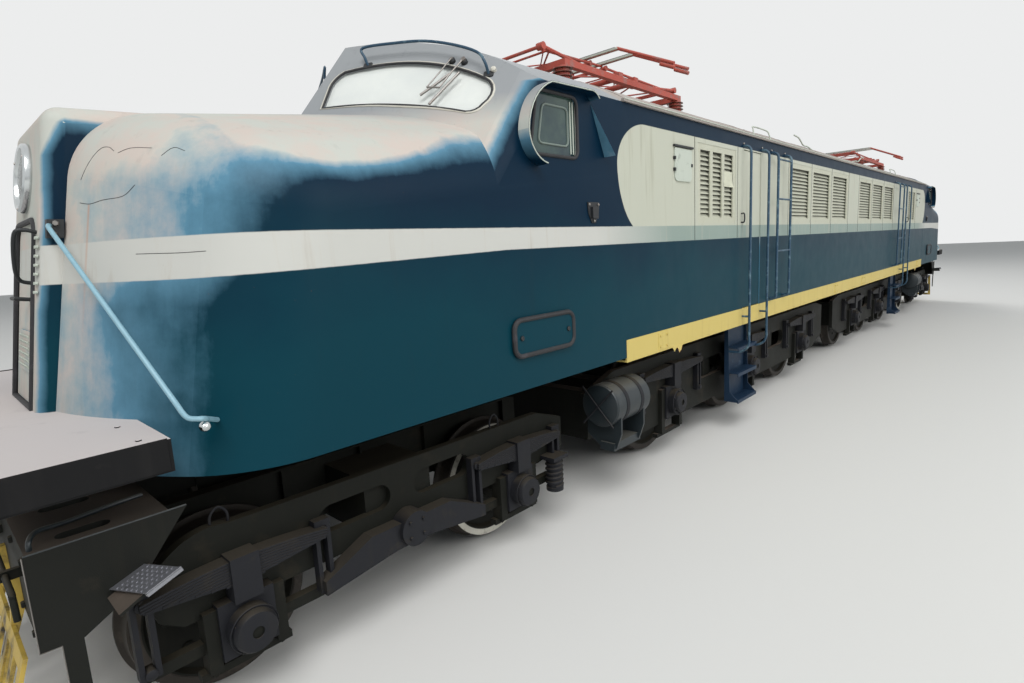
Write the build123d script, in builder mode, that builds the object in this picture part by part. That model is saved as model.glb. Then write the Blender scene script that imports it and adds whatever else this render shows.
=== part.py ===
from build123d import *
import os
from math import atan2, cos, radians, sin, sqrt, tan

# An electric locomotive with a streamlined nose at each end, for 1600 mm gauge track.
# Millimetres and degrees. +X is the front end, +Y the left side, +Z up.
# Z = 0 is the level that the wheel flanges reach.

# Carbody
body_half_width = 1525
wall = 60
roof_thickness = 50
eaves_z = 3380
crown_z = 3870
sill_bottom_z = 1300
sill_top_z = 1490
sill_step = 4
sill_flange = 124
sill_plate = 16
floor_thickness = 40
cab_split_x = 7220
running_clearance = 0.3

# Nose and cab front
nose_bottom_z = 1340
nose_tip_x = 10930
nose_front_radius = 2200
nose_corner_radius = 600
nose_rake = 0.18
dome_crown_z = 3500
dome_crown_radius = 3100
dome_fall = 0.12
dome_step = 1
dome_edge_radius = 450
ridge_half_width = 450
ridge_foot_x = 10950
ridge_rake = 0.155
ridge_front_top_z = 3100
ridge_rear_top_z = 3215
ridge_rear_x = 8500
ridge_edge_radius = 90
cab_foot = (9080, 0, 3350)
cab_front_normal = (0.585, 0.305, 0.455)
cab_corner_radius = 180
cab_corner_fullness = 0.97

# Windows and doors
side_window_x = (7815, 8250)
side_window_z = (2900, 3315)
side_window_lean = 90
glass_thickness = 8
side_door_x = 4510
side_door_width = 520
side_door_head = 150
side_door_gap = 8
side_door_thickness = 40
nose_door_width = 600
nose_door_bottom_z = 1600
nose_door_top_z = 2560
nose_door_thickness = 40
door_pin_radius = 12
nose_door_corner = 100
headlight_z = 2790
headlight_radius = 185

windscreen_reveal = 20
visor_depth = 90
visor_thickness = 12
fin_depth = 105

# Louvred panels on each side, repeated at the other end
louvre_bottom_z = 2440
louvre_top_z = 3200
louvre_slats = 14
louvre_bar = 60
louvre_recess = 4
louvre_depth = 50
mullion_depth = 14
slat_setback = 16
slat_thickness = 8
slat_depth = 26
# centre X, width, columns of slats
louvre_panels = [(5440, 900, 3), (2840, 920, 1), (1840, 920, 1), (840, 920, 1)]

# Fittings on the sides
rail_radius = 16
bar_fullness = 1.04
rail_standoff = 85
rail_top_z = 3250
step_bottom_z = 360
step_pitch = 360
ladder_x = (3470, 3930)
ladder_rungs_z = [1530, 2100, 2720, 3180]
hatch_x = (7950, 8610)
hatch_z = (1510, 1830)
hatch_frame = 45
cover_x = (6040, 6370)
cover_z = (2820, 3110)

# Running gear
wheel_back = 765
wheel_width = 140
flange_height = 28
flange_width = 32
hub_share = 0.3
hub_stand = 40
driving_radius = 584
guiding_radius = 457
axle_radius = 95
journal_radius = 80
journal_end = 1330
driving_box_half = 160
guiding_box_half = 138
driving_axles_x = [1650, 3750, 5850]
guiding_axles_x = [8280, 10330]
frame_pin_x = 3750
truck_pin_x = 9305
side_frame_y = 1120
side_frame_thickness = 55
coupler_face_x = 11550
coupler_z = 1000
platform_top_z = 1530
platform_front_x = 11260
platform_depth = 90
platform_rear_x = 10650
platform_half_width = 1500
frame_bearing_z = 1255
truck_bearing_z = 1010
end_beam_x = (11050, 11120)
end_plate_y = 1340
end_plate_thickness = 16
shelf_z = (1215, 1240)
pilot_top_z = 800
pilot_bottom_z = 170
pilot_rake = 0.3
pilot_half_width = 1250
pilot_bars = 14
pilot_bar = 60
jaw_width = 62
jaw_depth = 40
jaw_foot_z = 300
jaw_tie = 40
leaf_width = 90
leaf_end = 50
hanger_width = 90
hanger_wall = 24
coil_x = 7890
coil_radius = 62

# Pantographs: each arm pair is a rhombus, folded down as it parks
pantograph_x = 5650
pantograph_pivot = 150
pantograph_arm = 1120
pantograph_rest_angle = 6
pantograph_base_z = 4000
pantograph_tube = 17
knuckle_half = 20

# Air reservoirs beside the main frames
reservoir_x = 6880
reservoir_length = 500
reservoir_radius = 185
reservoir_z = 940
cradle_thickness = 20

driving_axle_z = driving_radius + flange_height
guiding_axle_z = guiding_radius + flange_height
roof_radius = (body_half_width**2 + (crown_z - eaves_z) ** 2) / (2 * (crown_z - eaves_z))
roof_centre_z = crown_z - roof_radius


def body_outline(inset, bottom_z):
    """The carbody's cross-section: upright sides under an arched roof."""
    half = body_half_width - inset
    radius = roof_radius - inset
    eave = roof_centre_z + sqrt(radius**2 - half**2)
    with BuildSketch() as outline:
        with BuildLine():
            Polyline((half, eave), (half, bottom_z), (-half, bottom_z), (-half, eave))
            ThreePointArc((-half, eave), (0, roof_centre_z + radius), (half, eave))
        make_face()
    return outline.sketch_local


def cab_front_plane(side, inset=0):
    """The raked plane of one windscreen; side is 1 for the left, -1 for the right."""
    normal = Vector(cab_front_normal[0], side * cab_front_normal[1], cab_front_normal[2]).normalized()
    across = Vector(-normal.Y, normal.X, 0) * side
    return Plane(origin=Vector(*cab_foot) - normal * inset, x_dir=across, z_dir=normal)


def raked_plane(rake, origin):
    """A plane square to a direction that leans back by rake for each unit of height."""
    return Plane(origin=origin, x_dir=Vector(1, 0, rake), z_dir=Vector(-rake, 0, 1))


def cab_block():
    """The cab: the body's section, cut off in front by a raked V with rounded corners."""
    lean, sweep, rise = cab_front_normal
    rake = rise / lean
    square = 1 / sqrt(1 + rake**2)
    low = 1.2 * (cab_foot[2] - nose_bottom_z)
    side_u = -body_half_width * sweep / lean * square
    turn = atan2(body_half_width, -side_u)
    run = cab_corner_radius * tan(turn / 2)
    start = (side_u - run, body_half_width)
    end = (side_u + run * cos(turn), body_half_width - run * sin(turn))
    crest_radius = cab_corner_radius * cab_corner_fullness
    crest = (
        side_u - run + crest_radius * sin(turn / 2),
        body_half_width - cab_corner_radius + crest_radius * cos(turn / 2),
    )
    with BuildPart() as block:
        with BuildSketch(raked_plane(rake, (cab_foot[0] + low * rake, 0, cab_foot[2] - low))):
            with BuildLine():
                Line((-6000, -body_half_width), (-6000, body_half_width))
                Line((-6000, body_half_width), start)
                ThreePointArc(start, crest, end)
                Line(end, (0, 0))
                Line((0, 0), (end[0], -end[1]))
                ThreePointArc((end[0], -end[1]), (crest[0], -crest[1]), (start[0], -start[1]))
                Line((start[0], -start[1]), (-6000, -body_half_width))
            make_face()
        extrude(amount=4 * low)
        with BuildSketch(Plane.YZ.offset(cab_split_x)):
            add(body_outline(0, nose_bottom_z))
        extrude(amount=4000, mode=Mode.INTERSECT)
    return block.part


def plan_points(inset):
    """Points round the left half of the nose's plan, from its tip back, on its raked plane."""
    corner_y = body_half_width + dome_step - nose_corner_radius
    span = nose_front_radius - nose_corner_radius
    corner_x = sqrt(span**2 - corner_y**2)
    turn = atan2(corner_y, corner_x)
    front = nose_front_radius - inset
    corner = nose_corner_radius - inset
    points = [(front * cos(turn * part), front * sin(turn * part)) for part in (0, 0.5, 1)]
    for part in (0.5, 1):
        angle = turn + (radians(90) - turn) * part
        points.append((corner_x + corner * cos(angle), corner_y + corner * sin(angle)))
    return points


def crown_drop(radius, y):
    return radius - sqrt(radius**2 - y**2)


def dome_plan_plane(bottom_z):
    low_z = bottom_z - 1000
    level_radius = nose_front_radius * sqrt(1 + nose_rake**2)
    centre_x = nose_tip_x - level_radius + nose_rake * (nose_bottom_z - low_z)
    return raked_plane(nose_rake, (centre_x, 0, low_z))


def dome_crown_plane(inset):
    """A plane across the nose's falling crown, from behind the cab's rear edge."""
    return Plane(
        origin=(cab_split_x - 1000, 0, dome_crown_z - inset + 1000 * dome_fall),
        x_dir=(0, 1, 0),
        z_dir=(1, 0, -dome_fall),
    )


def nose_dome():
    """The nose's cheeks: a raked, rounded plan under a falling crown, with one large edge radius."""
    tip, front, meet, corner, rear = plan_points(0)
    with BuildPart() as dome:
        with BuildSketch(dome_plan_plane(nose_bottom_z)):
            with BuildLine():
                Polyline(rear, (-6000, rear[1]), (-6000, -rear[1]), (rear[0], -rear[1]))
                ThreePointArc(rear, corner, meet)
                ThreePointArc(meet, tip, (meet[0], -meet[1]))
                ThreePointArc((meet[0], -meet[1]), (corner[0], -corner[1]), (rear[0], -rear[1]))
            make_face()
        extrude(amount=4600)
        drop = crown_drop(dome_crown_radius, 2000)
        with BuildSketch(dome_crown_plane(0)):
            with BuildLine():
                Polyline((2000, -drop), (2000, -4000), (-2000, -4000), (-2000, -drop))
                ThreePointArc((-2000, -drop), (0, 0), (2000, -drop))
            make_face()
        extrude(amount=6000, mode=Mode.INTERSECT)
        split(bisect_by=Plane.YZ.offset(cab_split_x), keep=Keep.TOP)
        split(bisect_by=Plane.XY.offset(nose_bottom_z), keep=Keep.TOP)
        top_edges = dome.edges().filter_by(
            lambda edge: edge.center().Z > 2300 and edge.center().X > cab_split_x + 20
        )
        fillet(top_edges, dome_edge_radius)
    return dome.part


def dome_cavity(plan_inset, crown_inset):
    """A flat-faced space inside the nose's cheeks, set in from the plan and from the crown."""
    half_plan = plan_points(plan_inset)
    plan = half_plan + [(-6000, half_plan[-1][1])]
    plan = plan + [(x, -y) for x, y in reversed(plan[1:])]
    radius = dome_crown_radius - crown_inset
    crown = [(y, -crown_drop(radius, y)) for y in (-1500, -900, -300, 300, 900, 1500)]
    with BuildPart() as cavity:
        with BuildSketch(dome_plan_plane(nose_bottom_z)):
            with BuildLine():
                Polyline(*plan, close=True)
            make_face()
        extrude(amount=4600)
        with BuildSketch(dome_crown_plane(crown_inset)):
            with BuildLine():
                Polyline(*crown, (1500, -4000), (-1500, -4000), close=True)
            make_face()
        extrude(amount=6000, mode=Mode.INTERSECT)
        split(bisect_by=Plane.YZ.offset(cab_split_x - wall), keep=Keep.TOP)
        split(bisect_by=Plane.XY.offset(nose_bottom_z - wall), keep=Keep.TOP)
    return cavity.part


def cab_cavity():
    """The flat-fronted space inside the cab."""
    lean, sweep, rise = cab_front_normal
    rake = rise / lean
    low = 1.2 * (cab_foot[2] - nose_bottom_z)
    half = body_half_width - wall
    foot_x = cab_foot[0] - wall * sqrt(lean**2 + sweep**2 + rise**2) / lean
    front = 1 / sqrt(1 + rake**2)
    side_u = -half * sweep / lean * front
    with BuildPart() as cavity:
        with BuildSketch(raked_plane(rake, (foot_x + low * rake, 0, cab_foot[2] - low))):
            with BuildLine():
                Polyline((-6000, half), (side_u, half), (0, 0), (side_u, -half), (-6000, -half), close=True)
            make_face()
        extrude(amount=4 * low)
        with BuildSketch(Plane.YZ.offset(cab_split_x - wall)):
            add(body_outline(wall, nose_bottom_z - wall))
        extrude(amount=4000, mode=Mode.INTERSECT)
    return cavity.part


def ridge_block(inset, bottom_z, edge_radius):
    """The raised middle of the nose that carries the door and the headlight."""
    half = ridge_half_width - inset
    foot_x = ridge_foot_x + ridge_rake * (nose_bottom_z - bottom_z) - inset
    top_x = ridge_foot_x - ridge_rake * (ridge_front_top_z - nose_bottom_z) - inset
    with BuildPart() as ridge:
        with BuildSketch(Plane.XZ.offset(-half)):
            with BuildLine():
                Polyline(
                    (foot_x, bottom_z),
                    (top_x, ridge_front_top_z - inset),
                    (ridge_rear_x, ridge_rear_top_z - inset),
                    (ridge_rear_x, bottom_z),
                    close=True,
                )
            make_face()
        extrude(amount=2 * half)
        if edge_radius:
            long_edges = ridge.edges().filter_by(
                lambda edge: abs(abs(edge.center().Y) - half) < 1
                and edge.center().X > ridge_rear_x + 10
                and edge.center().Z > bottom_z + 10
            )
            cross_edge = ridge.edges().filter_by(Axis.Y).sort_by(Axis.Z)[-2:].sort_by(Axis.X)[-1:]
            fillet(long_edges + cross_edge, edge_radius)
    return ridge.part


def nose_solid():
    with BuildPart() as solid:
        add(nose_dome())
        add(ridge_block(0, nose_bottom_z, ridge_edge_radius))
        add(cab_block())
    return solid.part


def nose_cavity():
    with BuildPart() as cavity:
        add(dome_cavity(wall, dome_edge_radius - 90))
        add(dome_cavity(dome_edge_radius - 120, wall))
        add(ridge_block(wall, nose_bottom_z - wall, 0))
        add(cab_cavity())
    return cavity.part


def windscreen_outline(shrink):
    """A half windscreen on its raked plane: x runs outward from the centre post, y up the slope."""
    with BuildSketch() as outline:
        with BuildLine():
            Line((165, 5), (175, 215))
            ThreePointArc((175, 215), (200, 290), (262, 352))
            ThreePointArc((262, 352), (800, 345), (1390, 85))
            ThreePointArc((1390, 85), (1452, -30), (1400, -150))
            ThreePointArc((1400, -150), (1350, -196), (1290, -200))
            ThreePointArc((1290, -200), (759, -52), (165, 5))
        make_face()
        if shrink:
            offset(amount=-shrink)
    return outline.sketch_local


def side_window_outline(shrink):
    """The cab's side window, leaning forward at its foot; x is the locomotive's X, y its Z."""
    rear_x, front_x = side_window_x
    low_z, high_z = side_window_z
    with BuildSketch() as outline:
        with BuildLine():
            Polyline(
                (rear_x, low_z),
                (front_x + side_window_lean, low_z),
                (front_x, high_z),
                (rear_x, high_z),
                close=True,
            )
        make_face()
        fillet(outline.vertices(), 60)
        if shrink:
            offset(amount=-shrink)
    return outline.sketch_local


def nose_door_plane(depth):
    """The raked face that the nose door lies in, depth behind the ridge's front."""
    slope = sqrt(1 + ridge_rake**2)
    foot = Vector(ridge_foot_x - ridge_rake * (nose_door_bottom_z - nose_bottom_z), 0, nose_door_bottom_z)
    normal = Vector(1 / slope, 0, ridge_rake / slope)
    return Plane(origin=foot - normal * depth, x_dir=(0, 1, 0), z_dir=normal)


def nose_door_outline(shrink):
    height = (nose_door_top_z - nose_door_bottom_z) * sqrt(1 + ridge_rake**2)
    with BuildSketch() as outline:
        Rectangle(nose_door_width, height, align=(Align.CENTER, Align.MIN))
        fillet(outline.vertices().sort_by(Axis.Y)[-2:], nose_door_corner)
        if shrink:
            offset(amount=-shrink)
    return outline.sketch_local


def side_plane(y):
    """An upright plane along the locomotive at y, with x along X and y up; it faces the right side."""
    return Plane(origin=(0, y, 0), x_dir=(1, 0, 0), z_dir=(0, -1, 0))


def box(x_range, y_range, z_range):
    """A plain block between its low and high limits."""
    size = [high - low for low, high in (x_range, y_range, z_range)]
    middle = [(low + high) / 2 for low, high in (x_range, y_range, z_range)]
    with BuildPart() as block:
        with Locations(tuple(middle)):
            Box(*size)
    return block.part


def bar(points, radius):
    """An eight-sided bar through its points, mitred where it turns."""
    with BuildPart() as rod:
        with BuildLine() as path:
            Polyline(*points)
        with BuildSketch(path.line ^ 0):
            RegularPolygon(radius * bar_fullness, 8)
        sweep(transition=Transition.RIGHT)
    return rod.part


def disc(centre, direction, radius, length):
    """A round boss that starts at its centre and runs along its direction."""
    with BuildPart() as boss:
        with BuildSketch(Plane(origin=centre, z_dir=direction)):
            Circle(radius)
        extrude(amount=length)
    return boss.part


def both_sides(pieces):
    """The pieces and their mirror images across the middle of the locomotive."""
    return list(pieces) + [mirror(piece, about=Plane.XZ) for piece in pieces]


def both_ends(pieces):
    return list(pieces) + [mirror(piece, about=Plane.YZ) for piece in pieces]


# Nose and cab shell of the front end, with its windows, door opening and side window hood
fin_top = (7645, body_half_width - sill_step, 3320)
fin_foot = (7470, body_half_width - sill_step, 2940)
lamp_plane = nose_door_plane(0)
lamp_x = ridge_foot_x - ridge_rake * (headlight_z - nose_bottom_z)
lamp_centre = Vector(lamp_x, 0, headlight_z)
nose_shape = nose_solid()
with BuildPart() as nose_cab_front:
    add(nose_shape)
    add(nose_cavity(), mode=Mode.SUBTRACT)
    with BuildSketch(cab_front_plane(1)):
        add(windscreen_outline(0))
    extrude(amount=150, both=True, mode=Mode.SUBTRACT)
    with BuildSketch(side_plane(body_half_width)):
        add(side_window_outline(0))
    extrude(amount=150, both=True, mode=Mode.SUBTRACT)
    split(bisect_by=Plane.XZ, keep=Keep.BOTTOM)
    with BuildSketch(side_plane(body_half_width - sill_step)):
        with BuildLine() as hood:
            ThreePointArc((8260, 2830), (8395, 2910), (8435, 3030))
            ThreePointArc((8435, 3030), (8350, 3235), (8180, 3350))
            Line((8180, 3350), (7760, 3362))
            ThreePointArc((7760, 3362), (7685, 3352), (7645, 3320))
        trace(hood.line, line_width=visor_thickness)
    extrude(amount=-visor_depth)
    fin_run = Vector(*fin_foot) - Vector(*fin_top)
    with BuildSketch(Plane(origin=fin_top, x_dir=fin_run, z_dir=fin_run.cross(Vector(0, 1, 0)))):
        with BuildLine():
            Polyline((0, 0), (fin_run.length, 0), (fin_run.length, fin_depth), close=True)
        make_face()
    extrude(amount=visor_thickness / 2, both=True)
    mirror(about=Plane.XZ)
    with BuildSketch(nose_door_plane(0)):
        add(nose_door_outline(0))
    extrude(amount=200, both=True, mode=Mode.SUBTRACT)
    add(disc(lamp_centre, lamp_plane.z_dir, headlight_radius - 20, -200), mode=Mode.SUBTRACT)

# Body sides between the cabs
side_door_z = (sill_top_z, eaves_z - side_door_head)
side_door_span = (side_door_x - side_door_width / 2, side_door_x + side_door_width / 2)
door_openings = both_ends([box(side_door_span, (0, 2000), side_door_z)])
with BuildPart() as body_side_left:
    add(box((-cab_split_x, cab_split_x), (body_half_width - wall, body_half_width), (sill_top_z, eaves_z)))
    add(door_openings, mode=Mode.SUBTRACT)
    for x, width, columns in louvre_panels:
        panel = box((x - width / 2, x + width / 2), (0, 2000), (louvre_bottom_z, louvre_top_z))
        add(both_ends([panel]), mode=Mode.SUBTRACT)

louvre_middle_z = (louvre_bottom_z + louvre_top_z) / 2
louvre_height = louvre_top_z - louvre_bottom_z
slat_pitch = (louvre_height - 2 * louvre_bar) / louvre_slats
louvre_y = body_half_width - louvre_recess
pleats = []
for slat in range(louvre_slats):
    low_z = louvre_bottom_z + louvre_bar + slat * slat_pitch
    pleats.append((louvre_y - slat_setback, low_z))
    pleats.append((louvre_y - slat_setback - slat_depth, low_z + slat_pitch - slat_thickness))
with BuildPart() as louvres_left:
    for x, width, columns in louvre_panels:
        with BuildSketch(Plane.YZ.offset(x - width / 2)):
            with BuildLine():
                Polyline(
                    (louvre_y, louvre_bottom_z),
                    (louvre_y, louvre_bottom_z + louvre_bar),
                    *pleats,
                    (louvre_y - slat_setback, louvre_top_z - louvre_bar),
                    (louvre_y, louvre_top_z - louvre_bar),
                    (louvre_y, louvre_top_z),
                    (louvre_y - louvre_depth, louvre_top_z),
                    (louvre_y - louvre_depth, louvre_bottom_z),
                    close=True,
                )
            make_face()
        extrude(amount=width)
        mullion_pitch = (width - louvre_bar) / columns
        for column in range(columns + 1):
            mullion_x = x - width / 2 + louvre_bar / 2 + mullion_pitch * column
            mullion = (mullion_x - louvre_bar / 2, mullion_x + louvre_bar / 2)
            add(box(mullion, (louvre_y - mullion_depth, louvre_y), (louvre_bottom_z, louvre_top_z)))
    mirror(about=Plane.YZ)

# Roof between the cabs, with its gutters, and the sills and floor below
with BuildPart() as roof:
    for inset, mode in ((0, Mode.ADD), (roof_thickness, Mode.SUBTRACT)):
        with BuildSketch(Plane.YZ.offset(-cab_split_x)):
            add(body_outline(inset, sill_bottom_z))
        extrude(amount=2 * cab_split_x, mode=mode)
    split(bisect_by=Plane.XY.offset(eaves_z), keep=Keep.TOP)
    gutter_y = (body_half_width - 6, body_half_width + 22)
    add(both_sides([box((-cab_split_x, cab_split_x), gutter_y, (eaves_z, eaves_z + 22))]))

floor_z = (sill_bottom_z + 40, sill_bottom_z + 40 + floor_thickness)
sill_y = (body_half_width + sill_step - sill_flange, body_half_width + sill_step)
with BuildPart() as sills:
    with BuildSketch(Plane.YZ.offset(-cab_split_x)):
        with BuildLine():
            Polyline(
                (sill_y[0], sill_bottom_z),
                (sill_y[1], sill_bottom_z),
                (sill_y[1], sill_top_z),
                (sill_y[0], sill_top_z),
                (sill_y[0], sill_top_z - sill_plate),
                (sill_y[1] - sill_plate, sill_top_z - sill_plate),
                (sill_y[1] - sill_plate, sill_bottom_z + sill_plate),
                (sill_y[0], sill_bottom_z + sill_plate),
                close=True,
            )
        make_face()
    extrude(amount=2 * cab_split_x)
    mirror(about=Plane.XZ)

with BuildPart() as underframe:
    cab_floor_y = body_half_width - wall - 10
    side_floor_y = sill_y[1] - sill_plate - running_clearance
    beam_y = sill_y[0] - running_clearance
    add(box((-cab_split_x - 2700, cab_split_x + 2700), (-cab_floor_y, cab_floor_y), floor_z))
    add(box((-cab_split_x, cab_split_x), (-side_floor_y, side_floor_y), floor_z))
    for x in (truck_pin_x, 6500, 5000, 2300, 800):
        add(both_ends([box((x - 40, x + 40), (-beam_y, beam_y), (sill_bottom_z, floor_z[0]))]))
    for x in (-frame_pin_x, frame_pin_x):
        add(box((x - 350, x + 350), (-1100, 1100), (sill_bottom_z, floor_z[0])))
        bearing_z = frame_bearing_z + running_clearance
        add(disc((x, 0, bearing_z), (0, 0, 1), 320, sill_bottom_z + running_clearance - bearing_z))

with BuildPart() as machine_block:
    add(box((-3100, 3100), (-620, 620), (floor_z[1], 2900)))

with BuildPart() as platforms:
    with BuildSketch(Plane.XY.offset(platform_top_z - platform_depth)):
        with BuildLine():
            Polyline(
                (platform_rear_x, platform_half_width),
                (platform_front_x, platform_half_width),
                (platform_front_x, -platform_half_width),
                (platform_rear_x, -platform_half_width),
                close=True,
            )
        make_face()
    extrude(amount=platform_depth)
    add(nose_shape, mode=Mode.SUBTRACT)
    mirror(about=Plane.YZ)

# Glass
with BuildPart() as cab_glass:
    with BuildSketch(cab_front_plane(1, windscreen_reveal)):
        add(windscreen_outline(running_clearance))
    extrude(amount=-glass_thickness)
    with BuildSketch(side_plane(body_half_width - windscreen_reveal)):
        add(side_window_outline(running_clearance))
    extrude(amount=glass_thickness)
    mirror(about=Plane.XZ)
    mirror(about=Plane.YZ)

with BuildPart() as cab_interiors:
    add(box((cab_split_x + 20, cab_split_x + 60), (-1400, 1400), (floor_z[1], 3370)))
    add(both_sides([box((8350, 8900), (250, 1300), (floor_z[1], 2540))]))
    add(both_sides([box((7550, 8000), (500, 950), (floor_z[1], 1900))]))
    mirror(about=Plane.YZ)

with BuildPart() as headlights:
    add(disc(lamp_centre - lamp_plane.z_dir * 119, lamp_plane.z_dir, headlight_radius - 24, 120))
    add(disc(lamp_centre + lamp_plane.z_dir * running_clearance, lamp_plane.z_dir, headlight_radius, 36))
    mirror(about=Plane.YZ)

with BuildPart() as side_covers:
    add(box(cover_x, (body_half_width, body_half_width + 10), cover_z))
    hatch_y = body_half_width + dome_step + running_clearance
    add(box(hatch_x, (hatch_y, hatch_y + 30), hatch_z))
    mirror(about=Plane.XZ)
    mirror(about=Plane.YZ)

# Handrails, ladders and steps on the body
rail_y = body_half_width + rail_standoff
door_rails_x = (side_door_x - side_door_width / 2 - 10, side_door_x + side_door_width / 2 + 10)
with BuildPart() as ladders_and_handrails:
    for x, foot in zip(door_rails_x, (930, step_bottom_z)):
        grab = [(x, body_half_width, rail_top_z), (x, rail_y, rail_top_z), (x, rail_y, foot)]
        add(bar(grab, rail_radius))
    add(bar([(door_rails_x[0], rail_y, 1200), (door_rails_x[0], rail_y, step_bottom_z)], rail_radius))
    for step in range(3):
        z = step_bottom_z + step_pitch * step
        add(box((door_rails_x[0] - 5, door_rails_x[1] + 5), (body_half_width - 20, rail_y + 10), (z, z + 12)))
    for x in door_rails_x:
        add(bar([(x, rail_y, 1400), (x, body_half_width + sill_step, 1400)], rail_radius))
    for x in ladder_x:
        top, foot = rail_top_z, ladder_rungs_z[0]
        stile = [(x, body_half_width, top), (x, rail_y, top), (x, rail_y, foot), (x, body_half_width, foot)]
        add(bar(stile, rail_radius))
    for z in ladder_rungs_z[1:]:
        add(bar([(ladder_x[0], rail_y, z), (ladder_x[1], rail_y, z)], rail_radius * 0.7))
    mirror(about=Plane.XZ)
    mirror(about=Plane.YZ)

nose_rail_points = [(10600, 420, 2520), (10775, 500, 2500), (10560, 1490, 1640), (10380, 1370, 1615)]
with BuildPart() as nose_handrails:
    add(bar(nose_rail_points, 14))
    add(nose_shape, mode=Mode.SUBTRACT)
    mirror(about=Plane.XZ)
    mirror(about=Plane.YZ)

# Side doors and nose doors: each leaf carries its own hinge pin
leaf_inner_y = body_half_width - wall + 12
side_door_axis = (side_door_x - side_door_width / 2 + side_door_gap + 20, leaf_inner_y - 8)
with BuildPart() as side_door_front_left:
    add(
        box(
            (side_door_span[0] + side_door_gap, side_door_span[1] - side_door_gap),
            (leaf_inner_y, leaf_inner_y + side_door_thickness),
            (side_door_z[0] + side_door_gap, side_door_z[1] - side_door_gap),
        )
    )
    pin_length = side_door_z[1] - side_door_z[0] - 2 * running_clearance
    pin_start = (*side_door_axis, side_door_z[0] + running_clearance)
    add(disc(pin_start, (0, 0, 1), door_pin_radius, pin_length))

door_plane = nose_door_plane(10)
pin_plane = nose_door_plane(10 + nose_door_thickness + 8)
pin_foot = pin_plane.from_local_coords((-nose_door_width / 2 + side_door_gap + 20, running_clearance, 0))
with BuildPart() as nose_door_front:
    with BuildSketch(door_plane):
        add(nose_door_outline(side_door_gap))
    extrude(amount=-nose_door_thickness)
    pin_length = nose_door_top_z - nose_door_bottom_z - nose_door_corner
    add(disc(pin_foot, door_plane.y_dir, door_pin_radius, pin_length))


def wheelset(axle_x, axle_z, radius):
    """Two flanged wheels on one axle, with a journal outside each wheel."""
    face = wheel_back + wheel_width
    hub = radius * hub_share
    with BuildPart() as pair:
        with BuildSketch(Plane.YZ.offset(axle_x)):
            with BuildLine():
                Polyline(
                    (0, axle_z),
                    (0, axle_z + axle_radius),
                    (wheel_back, axle_z + axle_radius),
                    (wheel_back, axle_z + radius + flange_height),
                    (wheel_back + flange_width, axle_z + radius + flange_height),
                    (wheel_back + flange_width, axle_z + radius),
                    (face, axle_z + radius),
                    (face, axle_z + hub),
                    (face + hub_stand, axle_z + hub),
                    (face + hub_stand, axle_z + journal_radius),
                    (journal_end, axle_z + journal_radius),
                    (journal_end, axle_z),
                    close=True,
                )
            make_face()
        revolve(axis=Axis((axle_x, 0, axle_z), (0, 1, 0)))
        mirror(about=Plane.XZ)
    return pair.part


def axlebox(axle_x, axle_z, size):
    """A bearing box in its pedestal, with a round cover, open on the journal."""
    inner = side_frame_y - 40
    face = side_frame_y + side_frame_thickness + 60
    bore = disc((axle_x, inner - 1, axle_z), (0, 1, 0), journal_radius + 0.1, journal_end - inner + 2)
    with BuildPart() as case:
        add(box((axle_x - size, axle_x + size), (inner, face), (axle_z - size, axle_z + size + 20)))
        add(disc((axle_x, face, axle_z), (0, 1, 0), size * 0.85, 60))
        add(bore, mode=Mode.SUBTRACT)
    return case.part


def leaf_spring(axle_x, box_top_z, top_z, half_span, depth):
    """A laminated spring saddled over an axlebox, with a slotted hanger at each end."""
    inner = side_frame_y + side_frame_thickness + running_clearance
    left, right = axle_x - half_span, axle_x + half_span
    end_z = top_z - depth / 4
    with BuildPart() as leaf:
        with BuildSketch(side_plane(inner)):
            with BuildLine():
                ThreePointArc((left, end_z), (axle_x, top_z), (right, end_z))
                Polyline(
                    (right, end_z),
                    (right, end_z - leaf_end),
                    (axle_x, top_z - depth),
                    (left, end_z - leaf_end),
                    (left, end_z),
                )
            make_face()
        extrude(amount=-leaf_width)
        add(box((axle_x - 70, axle_x + 70), (inner, inner + leaf_width + 20), (box_top_z, top_z + 15)))
        with BuildSketch(side_plane(inner)):
            with Locations((left, end_z - 170), (right, end_z - 170)):
                Rectangle(hanger_width, 420)
                Rectangle(hanger_width - 2 * hanger_wall, 420 - 3 * hanger_wall, mode=Mode.SUBTRACT)
        extrude(amount=-leaf_width * 0.6)
    return leaf.part


def pedestals(axles_x, half, top_z):
    """A side plate's openings for axleboxes, with a raised jaw at each side and a tie across the foot."""
    near = half + running_clearance
    far = near + jaw_width
    plate_face = side_frame_y + side_frame_thickness
    jaw_y = (side_frame_y, plate_face + jaw_depth)
    tie_z = (jaw_foot_z - jaw_tie, jaw_foot_z)
    jaws = []
    for x in axles_x:
        jaws.append(box((x - far, x - near), jaw_y, (jaw_foot_z, top_z)))
        jaws.append(box((x + near, x + far), jaw_y, (jaw_foot_z, top_z)))
        jaws.append(box((x - far - 30, x + far + 30), (side_frame_y, plate_face), tie_z))
    return both_sides(jaws)


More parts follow.
